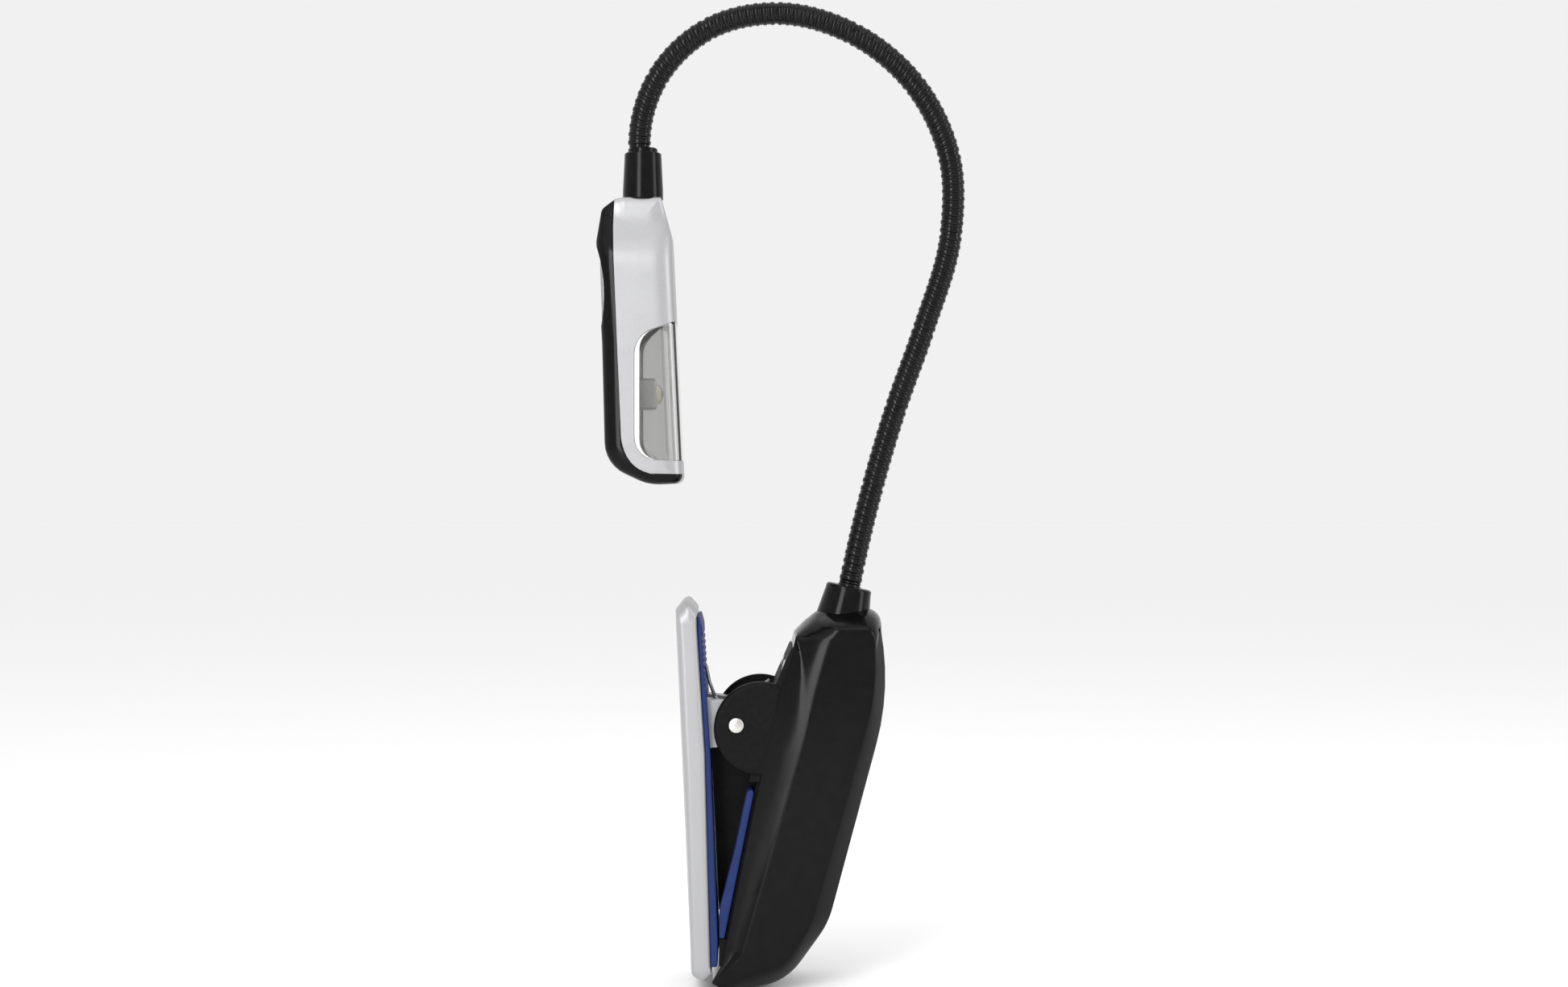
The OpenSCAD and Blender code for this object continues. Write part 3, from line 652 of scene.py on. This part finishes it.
def make_materials():
    """The record's material slots, each with its material, and the chip's own."""
    return {
        "black_gloss": gloss_black(),
        "black_satin": satin_black(),
        "silver": silver_paint((0.33, 0.33, 0.34)),
        "blue_rubber": rubber_blue(),
        "steel": metal("turned_steel", (0.62, 0.61, 0.58), 0.24, 0.42, (1, 0.1, 1)),
        "spring_steel": metal("spring_steel", (0.42, 0.42, 0.43), 0.22, 0.34, scale=2600),
        "neck_black": neck_black(),
        "brass": metal("crimped_brass", (0.78, 0.56, 0.24), 0.24, 0.4),
        "cell_wrap": cell_wrap(),
        "nickel": metal("nickel_plate", (0.7, 0.68, 0.63), 0.18, 0.34),
        "lead_red": moulded("lead_sleeve", (0.42, 0.02, 0.015), (0.5, 0.03, 0.02), 0.38, 0.5),
        # The clear window's grey tint darkens the white tray seen through it: painted shade for
        # the inside of the head
        "clear": clear_plastic("clear_window", (0.66, 0.66, 0.65)),
        "white": moulded("white_tray", (0.6, 0.6, 0.59), (0.66, 0.66, 0.65), 0.16, 0.26),
        "led_epoxy": clear_plastic("diode_epoxy", (0.95, 0.92, 0.72), 0.05),
        "board_green": board_green(),
        "chip_black": moulded(
            "chip_resin", (0.015, 0.015, 0.016), (0.022, 0.022, 0.023), 0.45, 0.6
        ),
        "grey_plastic": moulded("grey_button", (0.2, 0.2, 0.19), (0.25, 0.25, 0.235), 0.3, 0.42),
        "ivory": moulded("ivory_plastic", (0.6, 0.57, 0.48), (0.66, 0.63, 0.54), 0.35, 0.5),
        "phosphor": yellow_phosphor(),
    }


# --- the camera, the light and the floor ---

CAMERA_AT = Vector((7.9, -588, 116))
LENS_MM = 51.8
SENSOR_MM = 36
SHIFT_X = 0.022
SURROUND = 0.88           # strength of the even light from all round
SUN = 0.2                 # strength of the key light, and its height and bearing in degrees
SUN_HEIGHT = math.radians(50)
SUN_BEARING = math.radians(-130)
FLOOR_HALF = 9000
LIT_POINT = Vector((0.01, 0, 0.11))  # what the soft lights point at, in metres
SOFT_LIGHTS = [           # name, place, size and power: in metres and watts
    ("left_strip", (-0.235, -0.56, 0.36), (0.2, 0.7), 3.4),
    ("right_strip", (0.72, -0.2, 0.36), (0.22, 0.7), 2.2),
    ("top", (0, -0.1, 0.95), (0.6, 0.4), 0.7),
]


def make_camera():
    """The camera at the photo's height and angle, looking level at the lamp's side."""
    data = bpy.data.cameras.new("camera")
    data.lens = LENS_MM
    data.sensor_width = SENSOR_MM
    data.shift_x = SHIFT_X
    camera = bpy.data.objects.new("camera", data)
    camera.location = CAMERA_AT * MM
    camera.rotation_euler = (math.radians(90), 0, 0)
    bpy.context.scene.collection.objects.link(camera)
    bpy.context.scene.camera = camera


def soft_light(name, at, towards, size, power):
    """A white rectangular soft light: its places and sizes in metres."""
    data = bpy.data.lights.new(name, "AREA")
    data.shape = "RECTANGLE"
    data.size, data.size_y = size
    data.energy = power
    light = bpy.data.objects.new(name, data)
    light.location = at
    light.rotation_euler = (Vector(towards) - Vector(at)).to_track_quat("-Z", "Y").to_euler()
    bpy.context.scene.collection.objects.link(light)


def make_studio():
    """A pale floor under the lamp, an equally pale surround and soft lights."""
    scene = bpy.context.scene
    scene.view_settings.view_transform = "Standard"
    world = bpy.data.worlds.new("studio")
    world.use_nodes = True
    world.node_tree.nodes["Background"].inputs["Color"].default_value = (1, 1, 1, 1)
    world.node_tree.nodes["Background"].inputs["Strength"].default_value = SURROUND
    scene.world = world
    signs, low = ((-1, -1), (1, -1), (1, 1), (-1, 1)), CAD_BOX[0].z / MM
    floor = mesh_piece(
        "floor", [(x * FLOOR_HALF, y * FLOOR_HALF, low) for x, y in signs], [(0, 1, 2, 3)]
    )
    # The floor gets the sun as well, and is that much greyer, so that it ends up as pale
    pale = SURROUND / (SURROUND + SUN * math.sin(SUN_HEIGHT) / math.pi)
    shader = Shader("pale_floor", (pale, pale, pale), 0.6)
    shader.vary_roughness(shader.noise(3, 2), 0.55, 0.65)
    floor.data.materials.append(shader.material)
    data = bpy.data.lights.new("key", "SUN")
    data.energy, data.angle = SUN, math.radians(40)
    key = bpy.data.objects.new("key", data)
    way = Vector((math.cos(SUN_BEARING), math.sin(SUN_BEARING), math.tan(SUN_HEIGHT)))
    key.rotation_euler = way.to_track_quat("Z", "Y").to_euler()
    scene.collection.objects.link(key)
    for name, at, size, power in SOFT_LIGHTS:
        soft_light(name, at, LIT_POINT, size, power)


# --- the battery housing and the clip ---


def fall_share(u, curve):
    """How much of its fall the surface has made at u, from 0 at the panel to 1 at the outline."""
    return u ** curve if curve >= 1 else 1 - (1 - u) ** (1 / curve)


def housing_form(name, d=0.0):
    """The housing's outer form, or its inner form when drawn inwards by d."""
    panel = traced(inset(PANEL, d), HOUSING)
    whole = traced(inset(HOUSING, d), HOUSING)
    falls, curves = traced_values(HOUSING, FALL), traced_values(HOUSING, CURVE)
    rings = [
        [(p.x, HALF_W - d, p.y) for p in drawn_in(panel, (13, 2), (34, 74), share)]
        for share in (0.85, 0.55, 0.25, 0.08)
    ]
    steps = 12
    for k in range(steps + 1):
        u = k / steps
        rings.append([
            (
                a.lerp(b, u).x,
                HALF_W - d - fall * fall_share(u, curve),
                a.lerp(b, u).y,
            )
            for a, b, fall, curve in zip(panel, whole, falls, curves)
        ])
    rim = rings[-1]
    for share in (0.84, 0.66, 0.5, 0.33, 0.17, 0.0):
        rings.append([crowned(x, y * share, z, share) for x, y, z in rim])
    rings += [[(x, -y, z) for x, y, z in ring] for ring in reversed(rings[:-1])]
    return loft(name, rings)


def crowned(x, y, z, share):
    """Swells the top of the housing between its two sides."""
    t = min(1.0, max(0.0, (z - CROWN_Z[0]) / (CROWN_Z[1] - CROWN_Z[0])))
    way = Vector((x - CROWN_FROM[0], z - CROWN_FROM[1])).normalized()
    rise = CROWN * (1 - share * share) * t * t * (3 - 2 * t)
    return x + rise * way.x, y, z + rise * way.y


def bay_block(name, low, high):
    """A box in the battery bay's leaning frame."""
    return block(name, low, high, (BAY_AT[0], 0, BAY_AT[1]), BAY_TURN)


def door_block(name, gap):
    """The battery door's room, wider than the door by a gap on each side."""
    return bay_block(
        name,
        (2, -DOOR_HALF_W - gap, DOOR_Z[0] - gap),
        (30, DOOR_HALF_W + gap, DOOR_Z[1] + gap),
    )


def neck_foot():
    """The place where the neck leaves the collar."""
    lean = math.radians(NECK_LEAN)
    return neck_joints()[0] - Vector((math.sin(lean), 0, math.cos(lean))) * NECK_OVER


def make_housing(look):
    shell = cut(housing_form("housing_shell"), housing_form("inside", WALL))
    cut(
        shell,
        slab("opening", SHELL_OPENING, WEB_HALF_W + GAP),
        door_block("door_hole", GAP),
        lathe("neck_hole", [(4.45, -16), (4.45, 6)], neck_foot(), NECK_TURN),
    )
    place(soften(shell, 0.3), "base", "black_gloss", look, "rear_shell")

    door = common(
        cut(housing_form("battery_cover"), housing_form("inside", WALL)), door_block("door", 0)
    )
    grips = [
        lathe(
            "grip", [(0.5, -5.5), (0.5, 5.5)],
            Vector((BAY_AT[0], 0, BAY_AT[1]))
            + BAY_TURN @ Vector((14.4 - k * 0.04, 0, DOOR_Z[0] + 6 + k * 1.6)),
            ALONG_Y, 24,
        )
        for k in range(5)
    ]
    cut(door, *grips)
    place(soften(door, 0.25), "door", "black_gloss", look, "battery_door")


def make_ear(side):
    """One ear: a thick disc with a round outer rim, cut off along the housing's front."""
    low, high = EAR_Y
    rim = 1.1
    profile = [(EAR_R, low)] + arc((EAR_R - rim, high - rim), rim, 0, 90)
    ear = lathe("ear", profile, (EAR_AT[0], 0, EAR_AT[1]), ALONG_Y, 128)
    reshape(ear, lambda x, y, z: (x, side * y, z))
    fix_normals(ear)
    return cut(ear, slab("beyond", EAR_CUT, 20))


def fix_normals(piece):
    """Turns a piece's faces outwards again after it was mirrored."""
    shape = bmesh.new()
    shape.from_mesh(piece.data)
    bmesh.ops.recalc_face_normals(shape, faces=shape.faces)
    shape.to_mesh(piece.data)
    shape.free()


def screw_rooms():
    """The round recesses of the four screws that hold the front plate."""
    turn = Matrix.Rotation(math.radians(90 + SCREW_LEAN), 3, "Y")
    profile = [(SCREW_ROOM_R, -10), (SCREW_ROOM_R, 0.1)]
    return [
        lathe("screw_room", profile, (x, side * SCREW_Y, z), turn, 40)
        for x, z in SCREW_SPOTS
        for side in (-1, 1)
    ]


def make_front_plate(look):
    plate = slab("clip_front", FRONT_WEB, WEB_HALF_W)
    join(
        plate,
        slab("lip", JAW_LIP, HALF_W - WALL),
        slab("skin", FRONT_SKIN, EAR_Y[1] - 0.55),
        slab("rib", JAW_RIB, RIB_HALF_W),
        make_ear(1),
        make_ear(-1),
    )
    cut(
        plate,
        rod("pin_hole", PIN_AT, PIN_R + PIN_FIT, -20, 20),
        rod("knuckle_room", PIN_AT, KNUCKLE_R + 0.4, -KNUCKLE_Y[1] - 0.3, KNUCKLE_Y[1] + 0.3),
        *screw_rooms(),
    )
    place(soften(plate, 0.22), "base", "black_satin", look, "front_plate")


def make_pin(look):
    """The hinge pin, its ends spread into low domes."""
    end = EAR_Y[1]
    dome = [(PIN_HEAD_R, end + 0.02), (PIN_HEAD_R, end + 0.35)]
    dome += [(PIN_HEAD_R * math.cos(a), end + 0.35 + 0.33 * math.sin(a)) for a in
             (math.radians(15 * k) for k in range(1, 6))]
    profile = [(r, -y) for r, y in reversed(dome)] + [(PIN_R, -end), (PIN_R, end)] + dome
    pin = lathe("hinge_pin_turned", profile, (PIN_AT[0], 0, PIN_AT[1]), ALONG_Y, 64)
    place(soften(pin, 0), "base", "steel", look, "hinge_pin")


def lever_shape(x, y, z):
    """The lever's plate: its ends are rounded seen from the front, and its face is crowned."""
    edge = max(0.0, abs(y) - LEVER_FLAT) / (HALF_W - LEVER_FLAT)
    drop = LEVER_DROP * (1 - math.sqrt(max(0.0, 1 - edge * edge)))
    low, high = LEVER_ROUND_Z
    if z > high:
        z -= drop * ((z - high) / 16) ** 1.5
    if z < low:
        z += 0.6 * drop * ((low - z) / 10) ** 1.5
    back = min(1.0, max(0.0, (-5.4 - x) / 3))
    return x + LEVER_CROWN * back * (abs(y) / HALF_W) ** 2.4, y, z


def make_lever(look):
    lever = slab("clip_lever_plate", LEVER, HALF_W, 1.3, between=13, steps=8, spacing=5)
    reshape(lever, lever_shape)
    place(soften(lever, 0.2), "lever", "silver", look, "lever")
    for name, side in (("near", -1), ("far", 1)):
        middle = side * sum(KNUCKLE_Y) / 2
        half = (KNUCKLE_Y[1] - KNUCKLE_Y[0]) / 2
        lug = slab(f"lever_lug_{name}", KNUCKLE, half, 0.0, middle)
        join(lug, rod("round", PIN_AT, KNUCKLE_R, middle - half, middle + half, 64))
        cut(lug, rod("pin_hole", PIN_AT, PIN_R + PIN_FIT, -20, 20))
        place(soften(lug, 0.3), "lever", "silver", look)


def make_lever_pad(look):
    pad = slab("lever_grip_pad", LEVER_PAD, PAD_HALF_W, 0.5)
    cut(pad, block("lug_hole", (-8, -KNUCKLE_Y[1] - GAP, 50.5), (2, KNUCKLE_Y[1] + GAP, 63.8)))
    for k in range(9):
        cut(pad, rod("grip", (-2.95 - k * 0.1, 66.4 + k * 1.6), 0.55, -20, 20, 24))
    place(soften(pad, 0.15), "lever", "blue_rubber", look, "lever_pad")


def make_fixed_pad(look):
    pad = slab("fixed_grip_pad", FIXED_PAD, PAD_HALF_W, 0.5)
    cut(pad, block("rib_slot", (-4, -RIB_HALF_W - GAP, 4), (14, RIB_HALF_W + GAP, 46)))
    place(soften(pad, 0.2), "base", "blue_rubber", look, "fixed_pad")


def make_collar(look):
    """The collar at the neck's foot: a short flared sleeve with a step at its base."""
    profile = [(3.06, -11.5), (7.5, -11.5), (7.5, -9.3), (7.05, -9.1), (6.0, -1.8)]
    profile += arc((5.15, -1.25), 0.85, 20, 90)
    profile += [(3.4, -0.4), (3.06, -0.7)]
    collar = lathe("collar_sleeve", profile, neck_foot(), NECK_TURN, 96)
    cut(collar, lathe("bore", [(3.05, -14), (3.05, 3)], neck_foot(), NECK_TURN))
    cut(collar, housing_form("housing_room"))
    place(soften(collar, 0.2), "base", "black_gloss", look, "neck_collar")


# --- the gooseneck ---


def neck_joints():
    """The neck's joints at rest, from the collar to the head, in millimetres."""
    found = [j for j in frame["joints"] if j["name"].startswith("neck_")]
    found.sort(key=lambda j: neck_bodies().index(j["parent"]))
    return [Vector(j["pos_m"]) / MM for j in found]


def neck_bodies():
    """The bodies that the neck's stretches ride on, from the collar to the head."""
    return ["base"] + [f"neck_{k}" for k in range(2, 13)] + ["head"]


def neck_line():
    """The neck's curve: points, and each joint's distance along it."""
    joints = neck_joints()
    lean = math.radians(NECK_LEAN)
    first = Vector((math.sin(lean), 0, math.cos(lean)))
    last = Vector(NECK_END_WAY).normalized()
    knots = [joints[0] - first * NECK_TAILS[0], *joints, joints[-1] + last * NECK_TAILS[1]]
    steps = [(b - a).length for a, b in zip(knots, knots[1:])]
    tangents = [first]
    for i in range(1, len(knots) - 1):
        before = (knots[i] - knots[i - 1]) / steps[i - 1]
        after = (knots[i + 1] - knots[i]) / steps[i]
        tangents.append((before * steps[i] + after * steps[i - 1]).normalized())
    tangents[1] = first
    tangents[-1] = last
    tangents.append(last)
    points = []
    for i, length in enumerate(steps):
        for k in range(NECK_STEPS):
            t = k / NECK_STEPS
            points.append(
                knots[i] * (2 * t**3 - 3 * t**2 + 1) + tangents[i] * length * (t**3 - 2 * t**2 + t)
                + knots[i + 1] * (3 * t**2 - 2 * t**3) + tangents[i + 1] * length * (t**3 - t**2)
            )
    points.append(knots[-1])
    line = np.array(points)
    along = np.concatenate([[0], np.cumsum(np.linalg.norm(np.diff(line, axis=0), axis=1))])
    return line, along, [along[NECK_STEPS * (k + 1)] for k in range(len(joints))]


def neck_profile(length):
    """(distance, radius) along a stretch: round turns of wire, with a narrow wire in each gap."""
    turns = round(length / NECK_PITCH)
    pitch = length / turns
    half = (pitch - NECK_GAP) / 2
    profile = []
    for i in range(turns):
        for u in (k / 4 - 1 for k in range(9)):
            profile.append(((i + 0.5) * pitch + u * half, NECK_R - NECK_GROOVE * abs(u) ** 3))
        if i < turns - 1:
            for u in (-0.5, 0, 0.5):
                depth = NECK_NARROW + (NECK_GROOVE - NECK_NARROW) * u * u
                profile.append(((i + 1) * pitch + u * NECK_GAP / 2, NECK_R - depth))
    return profile


def make_neck(look):
    """The wound-wire skin, in one stretch for each link of the neck.

    Two stretches meet at a joint in the gap between two turns. The lower one ends in a ball
    round the joint and the upper one in its socket, so that they bend without touching.
    """
    line, along, joints = neck_line()
    ends = [0.0, *joints, along[-1]]
    across = Vector((0, 1, 0))

    def at(s):
        return Vector([np.interp(s, along, line[:, i]) for i in range(3)])

    def ring(s, radius, beyond=0.0):
        way = (at(s + 0.05) - at(s - 0.05)).normalized()
        side = way.cross(across)
        turns = [2 * math.pi * j / NECK_SIDES for j in range(NECK_SIDES)]
        centre = at(s) + way * beyond
        return [centre + radius * (math.cos(a) * across + math.sin(a) * side) for a in turns]

    def ball(s, radius, angles):
        return [
            ring(s, radius * math.cos(a), radius * math.sin(a)) for a in map(math.radians, angles)
        ]

    for k, body in enumerate(neck_bodies()):
        low, high = ends[k], ends[k + 1]
        socket_r = NECK_BALL_R + NECK_BALL_GAP
        rings = ball(low, socket_r, (60, 50, 40, 30, 20, 12, 7.3)) if k else []
        rings += [ring(low + s, radius) for s, radius in neck_profile(high - low)]
        if k < len(joints):
            rings += ball(high, NECK_BALL_R, (-7.1, 0, 8, 16, 25, 34, 42))
        piece = loft(f"neck_skin_{k + 1}", rings)
        piece.data.shade_smooth()
        piece.data.set_sharp_from_angle(angle=math.radians(60))
        place(piece, body, "neck_black", look, f"neck_link_{k + 1}")


# --- the lamp head ---


def head_shape(x, y, z):
    """Narrows the head towards the neck, seen from the front."""
    low, high = HEAD_NECK_Z
    t = min(1.0, max(0.0, (z - low) / (high - low)))
    share = 1 - (1 - HEAD_NECK_HALF_W / HEAD_HALF_W) * t * t * (3 - 2 * t)
    return x, y * share, z


def head_form(name, d=0.0):
    """The head's outer form, or its inner form when drawn inwards by d."""
    sections = []
    for k in range(9):
        a = math.pi / 2 * k / 8
        sections.append((
            HEAD_HALF_W - d - HEAD_ROUND_Y * (1 - math.cos(a)) ** 0.9,
            d + HEAD_ROUND * (1 - math.sin(a)),
        ))
    sections += [(y, d) for y in (6.0, 3.0)]
    side = traced(inset(HEAD, d + HEAD_ROUND), HEAD, 2.5)
    rings = [
        [(p.x, HEAD_HALF_W - d, p.y) for p in drawn_in(side, (-19.5, 128), (-21, 185), share)]
        for share in (0.94, 0.75, 0.5, 0.25)
    ]
    rings += [[(p.x, y, p.y) for p in traced(inset(HEAD, e), HEAD, 2.5)] for y, e in sections]
    rings += [[(x, 0.0, z) for x, _, z in rings[-1]]]
    rings += [[(x, -y, z) for x, y, z in ring] for ring in reversed(rings[:-1])]
    form = loft(name, rings)
    return reshape(form, head_shape)


def head_wall(name):
    """The head's whole wall, before it is parted, with the thumb's dish in its back."""
    dish_r, dish_depth = 37.0, 1.7
    dish_at = (-31.0 + dish_depth - dish_r, BUTTON_AT[1])
    outer = cut(head_form(name), rod("dish", dish_at, dish_r, -20, 20, 256))
    inner = cut(
        head_form("inside", HEAD_WALL), rod("dish", dish_at, dish_r + HEAD_WALL, -20, 20, 256)
    )
    return cut(outer, inner)


def make_head_shells(look):
    front = common(head_wall("head_front"), slab("front_part", HEAD_SPLIT, 20))
    cut(
        front,
        slab("window_hole", WINDOW, 20),
        lathe("lead_hole", [(1.4, 186), (1.4, 200)], (-20.5, 0, 0)),
    )
    place(soften(front, 0.3), "head", "silver", look, "head_front_shell")

    rear = cut(head_wall("head_rear"), slab("front_part", inset(HEAD_SPLIT, -0.12), 20))
    half_w, half_len = BUTTON_HALF
    cut(
        rear,
        block(
            "button_hole", (-36, -half_w - GAP, BUTTON_AT[1] - half_len - GAP),
            (-24, half_w + GAP, BUTTON_AT[1] + half_len + GAP),
        ),
        lathe("screw_hole", [(2.0, -34), (2.0, -28)], (0, 0, 185), ALONG_X),
    )
    place(soften(rear, 0.3), "head", "black_gloss", look, "head_rear_shell")


def make_lens(look):
    lens = common(
        cut(head_form("clear_window_shell"), head_form("inside", HEAD_WALL)),
        slab("window", PANE, 20),
    )
    place(soften(lens, 0.3), "head", "clear", look, "head_lens")


def make_reflector(look):
    """The white tray behind the window, with a frame that follows the window's edge."""
    tray = cut(
        common(head_form("light_tray", 0.08), slab("part", inset(WINDOW, 0.12), 20)),
        head_form("room", HEAD_WALL + 0.8),
    )
    cut(tray, slab("middle", inset(PANE, -0.06), 20))
    back = slab("back", [
        (-21.8, 126, 0.3), (-20.8, 126, 0.3), (-20.8, 153.6, 0.3), (-21.8, 153.6, 0.3),
    ], 10.2)
    join(tray, back)
    cut(tray, block("diode_hole", (-23, -4.1, LED_AT[1] - 4.1), (-19, 4.1, LED_AT[1] + 4.1)))
    place(soften(tray, 0.1), "head", "white", look, "reflector")


def make_led(look):
    """The diode's clear body, with its cup and the yellow chip inside."""
    at = (LED_AT[0], 0, LED_AT[1])
    body = [(2.9, 0.0), (2.9, 0.9), (2.5, 1.0), (2.5, 3.6)] + arc((0, 3.6), 2.5, 8, 82, 8)
    led = lathe("diode_body", body, at, ALONG_X, 48)
    place(soften(led, 0), "head", "led_epoxy", look, "led")
    holder = slab("diode_holder", [
        (-22, LED_AT[1] - 4, 0.4), (-15.9, LED_AT[1] - 4, 1.2), (-15.9, LED_AT[1] + 4, 1.2),
        (-22, LED_AT[1] + 4, 0.4),
    ], 4, 0.8)
    cut(holder, lathe("well", [(2.95, -0.05), (2.95, 3.2), (3.4, 4.0)], at, ALONG_X, 48))
    place(soften(holder, 0.2), "head", "white", look, "led_holder")
    cup = [(0.5, 0.3), (0.9, 1.2), (1.3, 2.0), (1.1, 2.05), (0.8, 1.5)]
    place(soften(lathe("diode_cup", cup, at, ALONG_X, 32), 0), "head", "nickel", look)
    chip = [(0.78, 1.52), (0.72, 1.75), (0.4, 1.9)]
    place(
        soften(lathe("diode_chip", chip, at, ALONG_X, 32), 0), "head", "ivory", look,
        finish="phosphor",
    )


def make_ferrule(look):
    """The sleeve that grips the neck's end on top of the head."""
    profile = [(3.05, 192.4), (4.9, 192.3)] + arc((4.85, 192.7), 0.42, -90, 0)
    profile += [(5.27, 194.6), (4.8, 204.1)] + arc((4.4, 204.2), 0.4, 10, 90)
    profile += [(3.85, 204.65), (3.8, 205.6), (3.55, 205.85), (3.05, 205.85)]
    ferrule = lathe("ferrule_sleeve", profile, (-19.85, 0, 0), None, 96)
    cut(ferrule, lathe("bore", [(3.04, 190), (3.04, 210)], (-20.6, 0, 0)))
    place(soften(ferrule, 0.1), "head", "black_gloss", look, "head_ferrule")


def make_button(look):
    """The thumb button: a long pad in the dish, half of it ribbed."""
    half_w, half_len = BUTTON_HALF
    z = BUTTON_AT[1]
    shape = [
        (-30.9, z + half_len - 0.4, 1.2), (-28.2, z + half_len, 0.2), (-28.2, z - half_len, 0.2),
        (-30.2, z - half_len + 0.4, 1.2),
    ]
    button = slab("thumb_button", shape, half_w, 0.8, between=3)
    for k in range(5):
        cut(button, rod("rib", (-31.0 + k * 0.09, z - 1.5 - k * 1.5), 0.4, -6, 6, 20))
    join(button, lathe("stem", [(2.0, -28.4), (2.0, -27.7)], (0, 0, z), ALONG_X))
    place(soften(button, 0.15), "button", "grey_plastic", look, "switch_button")


def dress_cad_nodes(look):
    """Gives every CAD node that still shows the material of its slot."""
    slots = {s["node"]: s.get("material_slot") for s in frame["record"]["subparts"]}
    for name, node in frame["nodes"].items():
        if node.hide_render:
            continue
        if not node.material_slots:
            node.data.materials.append(None)
        for slot in node.material_slots:
            slot.material = look[slots[name]]


def main():
    make_camera()
    make_studio()
    look = make_materials()
    for make in (
        make_housing, make_front_plate, make_pin, make_lever, make_lever_pad, make_fixed_pad,
        make_collar, make_neck, make_head_shells, make_lens, make_reflector, make_led,
        make_ferrule, make_button, dress_cad_nodes,
    ):
        make(look)


main()
